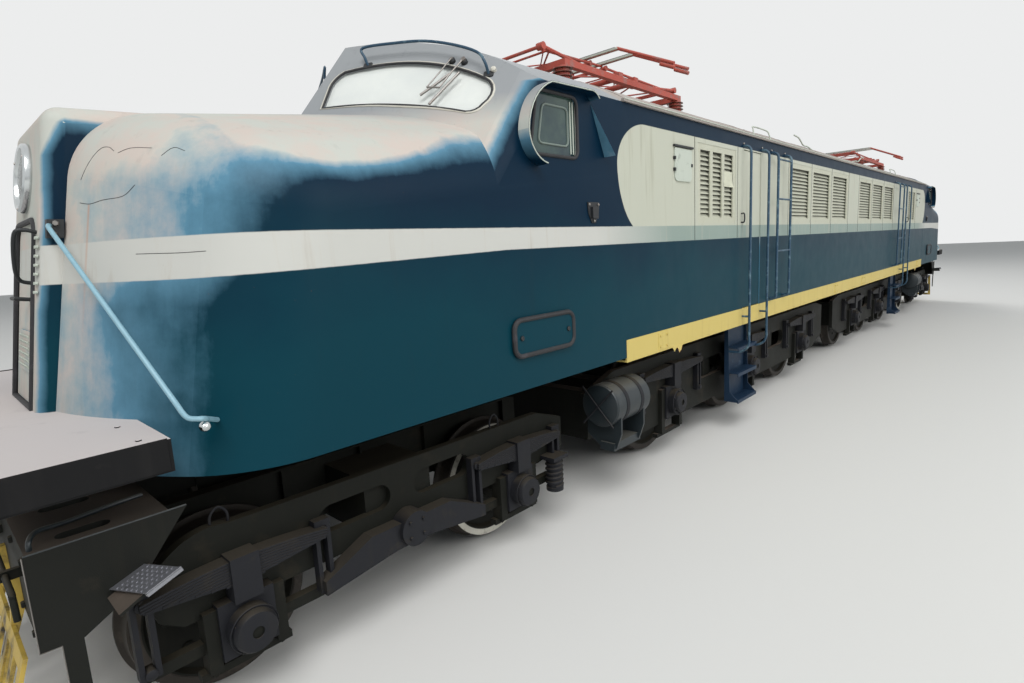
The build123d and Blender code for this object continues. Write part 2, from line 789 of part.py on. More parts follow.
# Main frame of the front end
plate_y = (side_frame_y, side_frame_y + side_frame_thickness)
driving_box_top = driving_axle_z + driving_box_half + 20
guiding_box_top = guiding_axle_z + guiding_box_half + 20
with BuildPart() as main_frame_front:
    with BuildSketch(side_plane(plate_y[0])):
        with BuildLine():
            Polyline(
                (350, 560),
                (350, 1060),
                (700, 1130),
                (6900, 1130),
                (7330, 1000),
                (7330, 700),
                (6700, 560),
                (6450, 400),
                (850, 400),
                close=True,
            )
        make_face()
        box_width = 2 * (driving_box_half + running_clearance)
        for x in driving_axles_x:
            with Locations((x, driving_box_top / 2)):
                Rectangle(box_width, driving_box_top + 10, mode=Mode.SUBTRACT)
        for x in (2700, 4800):
            with Locations((x, 800)):
                SlotOverall(760, 220, mode=Mode.SUBTRACT)
    extrude(amount=-side_frame_thickness)
    mirror(about=Plane.XZ)
    add(pedestals(driving_axles_x, driving_box_half, driving_box_top - 20))
    for x, half in ((700, 90), (2750, 90), (4850, 90), (6750, 90), (7200, 60)):
        add(box((x - half, x + half), (-plate_y[0] - 10, plate_y[0] + 10), (560, 1000)))
    add(box((frame_pin_x - 340, frame_pin_x + 340), (-600, 600), (870, 1120)))
    add(both_sides([box((frame_pin_x - 1000, frame_pin_x + 1100), (470, 550), (870, 990))]))
    add(disc((frame_pin_x, 0, 1100), (0, 0, 1), 320, frame_bearing_z - 1100))
    add(both_sides([box((7150, end_beam_x[0] + 10), (340, 400), (980, shelf_z[1]))]))
    add(box((8900, 9700), (-400, 400), (1040, 1080)))
    add(disc((truck_pin_x, 0, truck_bearing_z + running_clearance), (0, 0, 1), 250, 1045 - truck_bearing_z))

# The end structure: a beam, a shelf with oval holes, a raked plate and a tilted tread at each side
step_plane = Plane(origin=(10810, end_plate_y, 990), x_dir=(-150, 0, 75), z_dir=(75, 0, 150))
with BuildPart() as end_structure:
    add(box(end_beam_x, (-end_plate_y, end_plate_y), (840, shelf_z[1])))
    with BuildSketch(Plane.XY.offset(shelf_z[0])):
        with Locations(((10640 + end_beam_x[0]) / 2, 0)):
            Rectangle(end_beam_x[0] + 20 - 10640, 2 * end_plate_y)
        with Locations((10920, 1235), (10920, -1235), (10920, 850), (10920, -850)):
            SlotOverall(190, 70, mode=Mode.SUBTRACT)
    extrude(amount=shelf_z[1] - shelf_z[0])
    with BuildSketch(side_plane(end_plate_y - end_plate_thickness)):
        with BuildLine():
            Polyline(
                (end_beam_x[1] + 10, shelf_z[1]),
                (end_beam_x[1] + 10, 840),
                (11060, 840),
                (11060, 460),
                (10990, 460),
                (10990, 835),
                (10790, 950),
                (10560, shelf_z[1]),
                close=True,
            )
        make_face()
    extrude(amount=-end_plate_thickness)
    with BuildSketch(step_plane):
        with Locations((0, -90)):
            Rectangle(180, 180)
    extrude(amount=12)
    mirror(about=Plane.XZ)

with BuildPart() as traction_motors_front:
    for x, side in zip(driving_axles_x, (1, 1, -1)):
        near, far = sorted((x + side * 115, x + side * 1010))
        if side < 0:
            near, far = x - 910, x - 115
        add(box((near, far), (-620, 620), (360, 850)))

with BuildPart() as coupler_front:
    add(box((end_beam_x[1], coupler_face_x - 230), (-75, 75), (coupler_z - 80, coupler_z + 80)))
    with BuildSketch(Plane(origin=(coupler_face_x, 0, coupler_z - 150))):
        with BuildLine():
            Polyline(
                (-230, -75),
                (-230, 75),
                (-130, 150),
                (0, 150),
                (0, 40),
                (-80, 20),
                (-80, -90),
                (0, -130),
                (-20, -200),
                (-160, -160),
                close=True,
            )
        make_face()
    extrude(amount=300)

pilot_height = (pilot_top_z - pilot_bottom_z) * sqrt(1 + pilot_rake**2)
pilot_pitch = (2 * pilot_half_width - pilot_bar) / pilot_bars
pilot_plane = Plane(origin=(end_beam_x[1] + 40, 0, pilot_top_z), x_dir=(0, 1, 0), z_dir=(1, 0, pilot_rake))
with BuildPart() as pilot_front:
    with BuildSketch(pilot_plane):
        with Locations((0, -pilot_height / 2)):
            Rectangle(2 * pilot_half_width, pilot_height)
            with GridLocations(pilot_pitch, 0, pilot_bars, 1):
                Rectangle(pilot_pitch - pilot_bar, pilot_height - 2 * pilot_bar, mode=Mode.SUBTRACT)
    extrude(amount=16)
    for y in (-900, -450, 450, 900):
        with BuildSketch(Plane.XZ.offset(y - 20)):
            with BuildLine():
                Polyline(
                    (end_beam_x[1], 1000),
                    (end_beam_x[1] + 30, 1000),
                    (end_beam_x[1] + 60, pilot_top_z - 40),
                    (end_beam_x[1] + 160, 420),
                    (end_beam_x[1], 860),
                    close=True,
                )
            make_face()
        extrude(amount=40)

with BuildPart() as driving_gear_front:
    for x in driving_axles_x:
        add(both_sides([axlebox(x, driving_axle_z, driving_box_half)]))
        add(both_sides([leaf_spring(x, driving_box_top, 1020, 620, 130)]))

seat_y = plate_y[1] + running_clearance
with BuildPart() as air_reservoirs_front:
    centre_y = seat_y + reservoir_radius
    add(disc((reservoir_x, centre_y, reservoir_z), (1, 0, 0), reservoir_radius, reservoir_length))
    for x in (reservoir_x + 60, reservoir_x + reservoir_length - 60 - cradle_thickness):
        with BuildSketch(Plane.YZ.offset(x)):
            with BuildLine():
                Polyline(
                    (seat_y, reservoir_z - 20),
                    (seat_y, 660),
                    (centre_y - 60, 560),
                    (centre_y + 110, 560),
                    (centre_y + 160, 700),
                    (centre_y + 160, reservoir_z - 20),
                    close=True,
                )
            make_face()
        extrude(amount=cradle_thickness)
    cradle_foot = (centre_y - 40, centre_y + 100)
    add(box((reservoir_x + 40, reservoir_x + reservoir_length - 40), cradle_foot, (540, 610)))
    mirror(about=Plane.XZ)

# Guiding truck of the front end
with BuildPart() as guiding_frame_front:
    with BuildSketch(side_plane(plate_y[0])):
        with BuildLine():
            Polyline(
                (10350, 1020),
                (8000, 1000),
                (7700, 900),
                (7700, 640),
                (8000, 590),
                (10600, 590),
                (10700, 660),
                (10740, 790),
            )
            ThreePointArc((10740, 790), (10640, 950), (10350, 1020))
        make_face()
        box_width = 2 * (guiding_box_half + running_clearance)
        for x in guiding_axles_x:
            with Locations((x, guiding_box_top / 2)):
                Rectangle(box_width, guiding_box_top + 14, mode=Mode.SUBTRACT)
            with Locations((x - 320, 430), (x + 320, 430)):
                Rectangle(300, 60)
        with Locations((8980, 830), (9640, 830)):
            SlotOverall(480, 160, mode=Mode.SUBTRACT)
    extrude(amount=-side_frame_thickness)
    mirror(about=Plane.XZ)
    add(pedestals(guiding_axles_x, guiding_box_half, guiding_box_top - 20))
    add(box((truck_pin_x - 250, truck_pin_x + 250), (-plate_y[0] - 10, plate_y[0] + 10), (600, 960)))
    add(disc((truck_pin_x, 0, 950), (0, 0, 1), 250, truck_bearing_z - 950))

with BuildPart() as guiding_gear_front:
    for x in guiding_axles_x:
        add(axlebox(x, guiding_axle_z, guiding_box_half))
        add(leaf_spring(x, guiding_box_top, 860, 440, 130))
    with BuildSketch(side_plane(seat_y)):
        with BuildLine():
            Polyline(
                (8690, 440),
                (8690, 520),
                (9000, 660),
                (9610, 660),
                (9920, 520),
                (9920, 440),
                (9440, 500),
                (9170, 500),
                close=True,
            )
        make_face()
    extrude(amount=-leaf_width)
    add(disc((truck_pin_x, seat_y, 600), (0, 1, 0), 110, leaf_width + 30))
    coil_y = seat_y + coil_radius + 8
    add(box((coil_x - 90, coil_x + 90), (seat_y, seat_y + 2 * coil_radius + 20), (615, 645)))
    add(disc((coil_x, coil_y, 380), (0, 0, 1), coil_radius, 615 - 380))
    add(disc((coil_x, coil_y, 350), (0, 0, 1), coil_radius + 8, 30))
    mirror(about=Plane.XZ)


# Pantograph over the front end
reach = pantograph_arm * cos(radians(pantograph_rest_angle))
rise = pantograph_arm * sin(radians(pantograph_rest_angle))
pan_z = pantograph_base_z
elbow_z = pan_z + rise
head_z = pan_z + 2 * rise
lower_y = 502
upper_y = 470
base_half = 1100


def lower_arm(side):
    pivot_x = pantograph_x + side * pantograph_pivot
    elbow_x = pivot_x + side * reach
    with BuildPart() as arm:
        add(disc((pivot_x, -lower_y - 60, pan_z), (0, 1, 0), 30, 2 * lower_y + 120))
        add(both_sides([bar([(pivot_x, lower_y, pan_z), (elbow_x, lower_y, elbow_z)], pantograph_tube)]))
        add(both_sides([disc((elbow_x, lower_y - knuckle_half, elbow_z), (0, 1, 0), 34, 2 * knuckle_half)]))
    return arm.part


def upper_arm(side):
    top_x = pantograph_x + side * pantograph_pivot
    elbow_x = top_x + side * reach
    with BuildPart() as arm:
        add(disc((elbow_x, -upper_y, elbow_z), (0, 1, 0), 16, 2 * upper_y))
        knuckle = (elbow_x, lower_y - knuckle_half - running_clearance, elbow_z)
        add(both_sides([disc(knuckle, (0, -1, 0), 34, 30)]))
        add(both_sides([bar([(elbow_x, 430, elbow_z), (top_x, 250, head_z)], pantograph_tube * 0.8)]))
        add(both_sides([disc((top_x, 235, head_z), (0, 1, 0), 28, 30)]))
    return arm.part


with BuildPart() as pantograph_lower_outer_front:
    add(lower_arm(1))
with BuildPart() as pantograph_lower_inner_front:
    add(lower_arm(-1))
with BuildPart() as pantograph_upper_outer_front:
    add(upper_arm(1))
with BuildPart() as pantograph_upper_inner_front:
    add(upper_arm(-1))
with BuildPart() as pantograph_head_front:
    for side in (1, -1):
        x = pantograph_x + side * pantograph_pivot
        add(disc((x, -235 + running_clearance, head_z), (0, 1, 0), 18, 470 - 2 * running_clearance))
        add(both_sides([bar([(x, 200, head_z), (x, 200, head_z + 60)], 12)]))
        horn = [(x, 1240, head_z - 240), (x, 600, head_z + 60)]
        add(bar(horn + [(x, -y, z) for x, y, z in reversed(horn)], 16))
    low_x, high_x = pantograph_x - pantograph_pivot, pantograph_x + pantograph_pivot
    add(both_sides([bar([(low_x, 200, head_z + 30), (high_x, 200, head_z + 30)], 12)]))

with BuildPart() as pantograph_bases:
    for x in (pantograph_x - base_half, pantograph_x + base_half):
        add(box((x - 35, x + 35), (-660, 660), (pan_z - 60, pan_z)))
        add(both_sides([disc((x, 600, 3700), (0, 0, 1), 70, pan_z - 3760)]))
    rails_x = (pantograph_x - base_half - 30, pantograph_x + base_half + 30)
    add(both_sides([box(rails_x, (600, 660), (pan_z - 60, pan_z))]))
    bearing_y = (lower_y + 60 + running_clearance, 640)
    for x in (pantograph_x - pantograph_pivot, pantograph_x + pantograph_pivot):
        add(both_sides([box((x - 40, x + 40), bearing_y, (pan_z - 50, pan_z + 50))]))
    with BuildSketch(Plane.YZ.offset(0)):
        add(body_outline(0, sill_bottom_z))
    extrude(amount=cab_split_x, mode=Mode.SUBTRACT)
    mirror(about=Plane.YZ)

# Every piece by its name; a pair of names is a piece and its copy, turned round for the rear end
single_pieces = {
    "body_side_left": body_side_left,
    "louvres_left": louvres_left,
    "roof": roof,
    "sills": sills,
    "underframe": underframe,
    "machine_block": machine_block,
    "platforms": platforms,
    "cab_glass": cab_glass,
    "cab_interiors": cab_interiors,
    "headlights": headlights,
    "side_covers": side_covers,
    "ladders_and_handrails": ladders_and_handrails,
    "nose_handrails": nose_handrails,
    "pantograph_bases": pantograph_bases,
}
end_pieces = {
    "nose_cab": nose_cab_front,
    "nose_door": nose_door_front,
    "traction_motors": traction_motors_front,
    "coupler": coupler_front,
    "pilot": pilot_front,
    "driving_gear": driving_gear_front,
    "air_reservoirs": air_reservoirs_front,
    "guiding_frame": guiding_frame_front,
    "guiding_gear": guiding_gear_front,
    "pantograph_lower_outer": pantograph_lower_outer_front,
    "pantograph_lower_inner": pantograph_lower_inner_front,
    "pantograph_upper_outer": pantograph_upper_outer_front,
    "pantograph_upper_inner": pantograph_upper_inner_front,
    "pantograph_head": pantograph_head_front,
}

tongue = box((-140, 800), (-160, 160), (780, 840 - running_clearance))
articulation_pin = disc((0, 0, 800), (0, 0, 1), 50, 100)
fork = box((-140, 800), (-160, 160), (840, 900))
fork_eye = disc((0, 0, 700), (0, 0, 1), 57, 300)
with BuildPart() as main_frame_eye_end:
    add(main_frame_front.part)
    add(end_structure.part)
    add(fork)
    add(fork_eye, mode=Mode.SUBTRACT)
with BuildPart() as main_frame_pin_end:
    add(main_frame_front.part)
    add(end_structure.part)
    add(tongue)
    add(articulation_pin)

os.makedirs("parts", exist_ok=True)


def save(part, label):
    part.label = label
    export_step(part, f"parts/{label}.step")


for label, piece in single_pieces.items():
    save(piece.part, label)
for label in ("body_side", "louvres"):
    save(mirror(single_pieces[f"{label}_left"].part, about=Plane.XZ), f"{label}_right")
save(main_frame_eye_end.part, "main_frame_front")
save(main_frame_pin_end.part.rotate(Axis.Z, 180), "main_frame_rear")
for label, piece in end_pieces.items():
    save(piece.part, f"{label}_front")
    save(piece.part.rotate(Axis.Z, 180), f"{label}_rear")
door_right = mirror(side_door_front_left.part, about=Plane.XZ)
save(door_right, "side_door_right_front")
save(side_door_front_left.part.rotate(Axis.Z, 180), "side_door_right_rear")
save(mirror(side_door_front_left.part, about=Plane.YZ), "side_door_left_rear")
save(side_door_front_left.part, "side_door_left_front")
for kind, axles, axle_z, radius in (
    ("driving", driving_axles_x, driving_axle_z, driving_radius),
    ("guiding", guiding_axles_x, guiding_axle_z, guiding_radius),
):
    for number, axle_x in enumerate(axles, start=1):
        save(wheelset(axle_x, axle_z, radius), f"{kind}_wheelset_front_{number}")
        save(wheelset(-axle_x, axle_z, radius), f"{kind}_wheelset_rear_{number}")
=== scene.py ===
# %% [markdown]
# # A streamlined electric locomotive
# A large welded machine that has stood outdoors for years: navy enamel that the sun has chalked on every face
# that looks up, a cream panel with louvres, a yellow sill and dusty black running gear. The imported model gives
# every large form. This file gives each surface its finish and adds the pieces that a workshop would bolt,
# clip or paint on afterwards.

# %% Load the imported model
import math

import bmesh
import bpy
from mathutils import Matrix, Vector


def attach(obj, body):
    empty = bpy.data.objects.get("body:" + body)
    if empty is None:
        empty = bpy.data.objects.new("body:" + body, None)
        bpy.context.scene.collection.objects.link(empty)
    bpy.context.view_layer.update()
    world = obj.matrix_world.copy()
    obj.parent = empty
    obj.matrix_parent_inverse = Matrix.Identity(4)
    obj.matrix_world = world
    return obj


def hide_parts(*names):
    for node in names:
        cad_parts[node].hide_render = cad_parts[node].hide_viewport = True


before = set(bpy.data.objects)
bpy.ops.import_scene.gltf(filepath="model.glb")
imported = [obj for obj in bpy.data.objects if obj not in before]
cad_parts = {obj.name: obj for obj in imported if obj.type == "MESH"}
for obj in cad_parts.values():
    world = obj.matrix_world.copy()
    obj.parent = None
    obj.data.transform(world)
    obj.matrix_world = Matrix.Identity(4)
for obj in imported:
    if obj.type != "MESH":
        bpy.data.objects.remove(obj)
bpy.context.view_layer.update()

# %% [markdown]
# ## The camera
# The picture was taken with a short lens close to the nose's left corner. A camera could be placed by eye, but
# here its place and its three axes were solved from the vanishing points of the body's long, cross and upright
# edges, because a short lens shows every small error at its corners.

# %% Camera
camera_data = bpy.data.cameras.new("camera")
camera_data.sensor_width = 36
camera_data.lens = 20.21
camera_data.clip_end = 400
camera = bpy.data.objects.new("camera", camera_data)
camera_right = Vector((-0.68027, 0.73114, -0.05165))
camera_up = Vector((-0.14991, -0.06981, 0.98623))
camera_back = Vector((0.71747, 0.67865, 0.15709))
camera_place = Vector((11.3, 4.075, 2.28))
camera_turn = Matrix((camera_right, camera_up, camera_back)).transposed()
camera.matrix_world = Matrix.Translation(camera_place) @ camera_turn.to_4x4()
bpy.context.scene.collection.objects.link(camera)
bpy.context.scene.camera = camera
bpy.context.scene.view_settings.view_transform = "Standard"
print("lens", camera_data.lens, "mm at", tuple(camera.location))

# %% [markdown]
# ## Nodes and colours
# A finish is a small network of nodes. One function adds any node: its inputs come in the order in which
# Blender shows them, as values, other nodes or one of their outputs, and its settings come by name. Colours
# are written as sRGB hex, as a paint chart gives them, and turned to the linear values that the renderer
# works in. Each pattern's scale is 1000 divided by its real size in millimetres, because one unit here is a
# metre.


# %% Node and colour helpers
def linear(hex_code):
    """The linear RGBA of an sRGB hex colour."""
    parts = [int(hex_code[i:i + 2], 16) / 255 for i in (1, 3, 5)]
    return tuple(p / 12.92 if p <= 0.04045 else ((p + 0.055) / 1.055) ** 2.4 for p in parts) + (1,)


def add_node(tree, kind, *inputs, to=None, **settings):
    """Adds a node with its settings, feeds its inputs in order, and links its first output to a socket."""
    node = tree.nodes.new("ShaderNode" + kind)
    for name, value in settings.items():
        setattr(node, name, value)
    for socket, value in zip([socket for socket in node.inputs if socket.enabled], inputs):
        if isinstance(value, bpy.types.Node):
            value = next(output for output in value.outputs if output.enabled)
        if isinstance(value, bpy.types.NodeSocket):
            tree.links.new(value, socket)
        elif value is not None:
            socket.default_value = value
    if to:
        tree.links.new(next(output for output in node.outputs if output.enabled), to)
    return node


def new_finish(name, **sockets):
    """A material, its node tree, its shader with plain numbers set on it, and the object's own coordinates."""
    material = bpy.data.materials.new(name)
    material.use_nodes = True
    tree = material.node_tree
    shader = tree.nodes["Principled BSDF"]
    for socket, value in sockets.items():
        shader.inputs[socket.replace("_", " ")].default_value = value
    return material, tree, shader, add_node(tree, "TexCoord").outputs


print("sRGB #808080 is", round(linear("#808080")[0], 3), "in linear light")

# %% [markdown]
# ## Body enamel
# The body is steel sheet under many coats of alkyd enamel, brushed over filler. Sun and rain chalk the pigment
# of the faces that look up or forward: they turn pale and matt, while the upright sides stay dark and a little
# glossy. The bands are masked straight across the sheets. So one material reads a point's place on the body
# for the bands, and the way the surface faces for the chalk. Painting every sheet by hand would also work, but
# a rule keeps both ends alike.

# %% Body enamel: coordinates and clouds
livery, tree, shader, coordinates = new_finish("chalked_alkyd_enamel", Specular_IOR_Level=0.1)
place = coordinates["Object"]
split = add_node(tree, "SeparateXYZ", place)
facing = add_node(tree, "SeparateXYZ", coordinates["Normal"])
end_sign = add_node(tree, "Math", split, operation="SIGN")
x = add_node(tree, "Math", split, operation="ABSOLUTE")
y = add_node(tree, "Math", split.outputs[1], operation="ABSOLUTE")
ahead = add_node(tree, "Math", facing, end_sign, operation="MULTIPLY")
aside = add_node(tree, "Math", facing.outputs[1], operation="ABSOLUTE")
# clouds of an arm's reach, patches of two hands, and rain streaks a finger wide and a metre long
clouds = add_node(tree, "TexNoise", place, 1000 / 900, 5, 0.6)
patches = add_node(tree, "TexNoise", place, 1000 / 260, 6, 0.65)
streak_place = add_node(tree, "Mapping", place, None, None, (1000 / 70, 1000 / 70, 1000 / 1300))
streaks = add_node(tree, "TexNoise", streak_place, 1, 5, 0.6)
# a brush leaves the edge of a band wavy by a millimetre or two, every 40 mm
brush = add_node(tree, "TexNoise", place, 1000 / 40, 3)
ragged = add_node(tree, "Math", brush, 0.003, -0.0015, operation="MULTIPLY_ADD")
z = add_node(tree, "Math", split.outputs[2], ragged, operation="ADD")
print("body enamel: coordinates ready,", len(tree.nodes), "nodes")

# %% [markdown]
# ### Chalk
# Chalk builds up where a face looks up or forward, so its strength adds the two parts of the normal and takes
# away the sideways one. Near the cab the rain misses the shoulder of the body, and the chalk reaches lower
# there. The raised middle of the nose is chalked on its front and fades down its sides.

# %% Body enamel: chalk
weather = add_node(tree, "Math", aside, -0.5, facing.outputs[2], operation="MULTIPLY_ADD")
weather = add_node(tree, "Math", weather, ahead, operation="ADD")
shoulder_front = add_node(tree, "MapRange", x, 10.14, 9.72)
shoulder_rear = add_node(tree, "MapRange", x, 8.95, 9.5, 0.2, 1)
shoulder = add_node(tree, "Math", shoulder_front, shoulder_rear, operation="MULTIPLY")
level = add_node(tree, "Math", facing.outputs[2], 2, operation="POWER")
shoulder = add_node(tree, "Math", shoulder, level, operation="MULTIPLY")
weather = add_node(tree, "Math", shoulder, 3.1, weather, operation="MULTIPLY_ADD")
on_ridge = add_node(tree, "MapRange", y, 0.52, 0.48)
ridge_top = add_node(tree, "MapRange", split.outputs[2], 2.86, 3.12)
ridge_chalk = add_node(tree, "Math", on_ridge, ridge_top, operation="MULTIPLY")
weather = add_node(tree, "Math", ridge_chalk, 1.7, weather, operation="MULTIPLY_ADD")
roof_edge = add_node(tree, "MapRange", z, 3.37, 3.42)
weather = add_node(tree, "Math", roof_edge, 1.5, weather, operation="MULTIPLY_ADD")
uneven = add_node(tree, "Math", patches, 0.5, -0.25, operation="MULTIPLY_ADD")
weather = add_node(tree, "Math", weather, uneven, operation="ADD")
washed = add_node(tree, "Math", streaks, 0.2, -0.1, operation="MULTIPLY_ADD")
weather = add_node(tree, "Math", weather, washed, operation="ADD")
# below the stripe the nose is shaded by its own bulge and keeps most of its colour
low_nose = add_node(tree, "MapRange", z, 2.3, 2.1)
weather = add_node(tree, "Math", low_nose, -0.42, weather, operation="MULTIPLY_ADD")
# but close to the door it is washed paler
by_door = add_node(tree, "MapRange", x, 10.5, 10.72)
by_door = add_node(tree, "Math", by_door, low_nose, operation="MULTIPLY")
weather = add_node(tree, "Math", by_door, 0.3, weather, operation="MULTIPLY_ADD")
dull = add_node(tree, "MapRange", weather, 0.1, 0.72)
chalked = add_node(tree, "MapRange", weather, 0.66, 1.02)

# the enamel is bluer high up and greener towards the sill
clouded_height = add_node(tree, "Math", clouds, -0.8, z, operation="MULTIPLY_ADD")
green_share = add_node(tree, "MapRange", clouded_height, 2.2, 1.5)
sides = add_node(tree, "Mix", green_share, linear("#032033"), linear("#043541"), data_type="RGBA")
dulled = add_node(tree, "Mix", dull, sides, linear("#5b889f"), data_type="RGBA")
rosy_share = add_node(tree, "MapRange", patches, 0.4, 0.62)
chalk = add_node(tree, "Mix", rosy_share, linear("#bcbeb6"), linear("#c4b9b0"), data_type="RGBA")
# the cab's front is greyer than the nose
on_cab = add_node(tree, "MapRange", z, 3.1, 3.3)
chalk = add_node(tree, "Mix", on_cab, chalk, linear("#96999b"), data_type="RGBA")
colour = add_node(tree, "Mix", chalked, dulled, chalk, data_type="RGBA")
print("body enamel: chalk ready,", len(tree.nodes), "nodes")

# %% [markdown]
# ### Bands
# The cream panel is a long field with a rounded front end, so its mask is a superellipse of its own: straight
# behind X 6.85, an arc before it. The waist stripe runs right round and grows deeper round the nose.

# %% Body enamel: cream panel, stripe and dirt
above = add_node(tree, "Math", z, 2.9, operation="SUBTRACT")
up_part = add_node(tree, "MapRange", above, 0, 0.345)
down_part = add_node(tree, "MapRange", above, 0, -0.56)
front_part = add_node(tree, "MapRange", x, 6.85, 7.30, clamp=False)
front_part = add_node(tree, "Math", front_part, 0, operation="MAXIMUM")
# the two upright parts are clamped at the panel's own edges, so those edges need a mask of their own
reach = add_node(tree, "Math", up_part, up_part, operation="MULTIPLY")
reach = add_node(tree, "Math", down_part, down_part, reach, operation="MULTIPLY_ADD")
reach = add_node(tree, "Math", front_part, front_part, reach, operation="MULTIPLY_ADD")
panel = add_node(tree, "MapRange", reach, 1.012, 0.988)
for outside, inside in ((2.412, 2.418), (3.246, 3.240)):
    edge = add_node(tree, "MapRange", z, outside, inside)
    panel = add_node(tree, "Math", panel, edge, operation="MULTIPLY")
rain_worn = add_node(tree, "MapRange", streaks, 0.55, 0.95)
panel_colour = add_node(tree, "Mix", rain_worn, linear("#b9bbac"), linear("#a3a18c"), data_type="RGBA")
colour = add_node(tree, "Mix", panel, colour, panel_colour, data_type="RGBA")

foot = add_node(tree, "MapRange", x, 8.6, 10.4, 2.28, 2.225)
over_foot = add_node(tree, "Math", z, foot, operation="SUBTRACT")
stripe = add_node(tree, "MapRange", over_foot, 0, 0.005)
under_panel = add_node(tree, "MapRange", z, 2.423, 2.418)
stripe = add_node(tree, "Math", stripe, under_panel, operation="MULTIPLY")
# the stripe's darker grey on the sides is painted shade, and it is pale round the nose
unshaded_share = add_node(tree, "MapRange", x, 6.4, 7.6)
stripe_colour = add_node(tree, "Mix", unshaded_share, linear("#8c9b93"), linear("#c1c1bb"), data_type="RGBA")
stripe_colour = add_node(tree, "Mix", rain_worn, stripe_colour, linear("#bdb5a8"), data_type="RGBA")
colour = add_node(tree, "Mix", stripe, colour, stripe_colour, data_type="RGBA")

# soot that rain has dragged down, and rust specks about 25 mm across
soot_and_shade_share = add_node(tree, "MapRange", streaks, 0.6, 0.9, 0, 0.25)
colour = add_node(tree, "Mix", soot_and_shade_share, colour, linear("#25292a"), data_type="RGBA")
specks = add_node(tree, "TexNoise", place, 1000 / 25, 3, 0.7)
speck_share = add_node(tree, "MapRange", specks, 0.71, 0.78, 0, 0.3)
colour = add_node(tree, "Mix", speck_share, colour, linear("#6e4a33"), data_type="RGBA")
# one rust run on the nose's left cheek, 20 mm wide, below the end of the cracked filler
beside_run = add_node(tree, "Math", split.outputs[1], 0.657, operation="SUBTRACT")
beside_run = add_node(tree, "Math", beside_run, operation="ABSOLUTE")
rust_run = add_node(tree, "MapRange", beside_run, 0.012, 0.003, 0, 0.5)
for axis, outside, inside in ((z, 1.9, 2.6), (z, 2.603, 2.597), (x, 10.5, 10.55)):
    edge = add_node(tree, "MapRange", axis, outside, inside)
    rust_run = add_node(tree, "Math", rust_run, edge, operation="MULTIPLY")
add_node(tree, "Mix", rust_run, colour, linear("#c38a66"), data_type="RGBA", to=shader.inputs["Base Color"])
print("body enamel: bands ready,", len(tree.nodes), "nodes")

# %% [markdown]
# ### Gloss and relief
# Chalk is matt and sound enamel is satin, so the gloss follows the chalk's own mask. Welded sheet is never
# quite flat: a long faint ripple bends its reflections, with brush marks over it. Real dents in the mesh could
# show both, but at this depth a bump does as well.

# %% Body enamel: gloss and relief
gloss = add_node(tree, "MapRange", chalked, 0, 1, 0.34, 0.7)
add_node(tree, "Math", patches, 0.16, gloss, operation="MULTIPLY_ADD", to=shader.inputs["Roughness"])
# welded sheet ripples about a millimetre over half a metre; brush marks of 6 mm are cut finer still
ripple = add_node(tree, "TexNoise", place, 1000 / 450, 2)
marks = add_node(tree, "TexNoise", place, 1000 / 6, 2)
relief = add_node(tree, "Math", marks, 0.02, ripple, operation="MULTIPLY_ADD")
add_node(tree, "Bump", 1, 0.006, None, relief, to=shader.inputs["Normal"])
print("body enamel nodes", len(tree.nodes))

# %% [markdown]
# ## Other paints, metals and rubber
# Everything else outdoors ages in the same three ways: the paint wears to a second colour in patches, rain
# draws streaks down it, and dust lies on what faces up. One recipe takes the real paint, what shows where it
# has worn, the size of a patch and of the surface's grain, and the dust. Separate recipes would drift apart;
# one keeps the whole machine in the same weather.


# %% Weathered finishes: the recipe
def weathered(name, paint, worn, patch_mm, worn_share, roughness, grain_mm=8, relief_mm=0.5, dust=None,
              underside_shade=None, **sockets):
    """A finish that wears in patches, runs in streaks, gathers dust on top and takes painted shade on faces that
    look down.
    """
    material, tree, shader, coordinates = new_finish(name, **sockets)
    place = coordinates["Object"]
    spread = add_node(tree, "TexNoise", place, 1000 / patch_mm, 6, 0.65)
    worn_mask = add_node(tree, "MapRange", spread, 0.72 - worn_share, 0.86 - worn_share)
    colour = add_node(tree, "Mix", worn_mask, linear(paint), linear(worn), data_type="RGBA")
    run_place = add_node(tree, "Mapping", place, None, None, (1000 / 70, 1000 / 70, 1000 / 800))
    runs = add_node(tree, "TexNoise", run_place, 1, 4)
    run_share = add_node(tree, "MapRange", runs, 0.55, 0.85, 0, 0.35)
    colour = add_node(tree, "Mix", run_share, colour, linear(worn), data_type="RGBA")
    if dust or underside_shade:
        facing_up = add_node(tree, "SeparateXYZ", coordinates["Normal"]).outputs[2]
    if dust:
        lying = add_node(tree, "Math", spread, 0.5, facing_up, operation="MULTIPLY_ADD")
        dust_share = add_node(tree, "MapRange", lying, 0.8, 1.2, 0, 0.85)
        colour = add_node(tree, "Mix", dust_share, colour, linear(dust), data_type="RGBA")
    # painted shade: faces that look down are darkened towards the given colour
    if underside_shade:
        soot_and_shade_share = add_node(tree, "MapRange", facing_up, -0.15, -0.4, 0, 0.95)
        colour = add_node(tree, "Mix", soot_and_shade_share, colour, linear(underside_shade), data_type="RGBA")
    tree.links.new(colour.outputs[2], shader.inputs["Base Color"])
    smoothest = roughness - 0.1
    add_node(tree, "Math", spread, 0.25, smoothest, operation="MULTIPLY_ADD", to=shader.inputs["Roughness"])
    grain = add_node(tree, "TexNoise", place, 1000 / grain_mm, 3)
    relief = add_node(tree, "Math", grain, 0.5, spread, operation="MULTIPLY_ADD")
    add_node(tree, "Bump", 1, relief_mm / 1000, None, relief, to=shader.inputs["Normal"])
    return material


print("the recipe gives paint, wear, streaks, dust, soot, gloss and grain")

# %% Weathered finishes: paints
# roof enamel, brushed: chalked grey-pink all over, matt
roof_enamel = weathered("chalked_roof_enamel", "#8f8781", "#7b7a70", 600, 0.14, 0.7, dust="#9c938b")
# gutter and hood edges, brushed: pale sage where the top coat has gone; on the window hoods' edges this pale is
# a painted highlight
edge_enamel = weathered("sage_edge_enamel", "#b9c0b4", "#8b9388", 120, 0.12, 0.6)
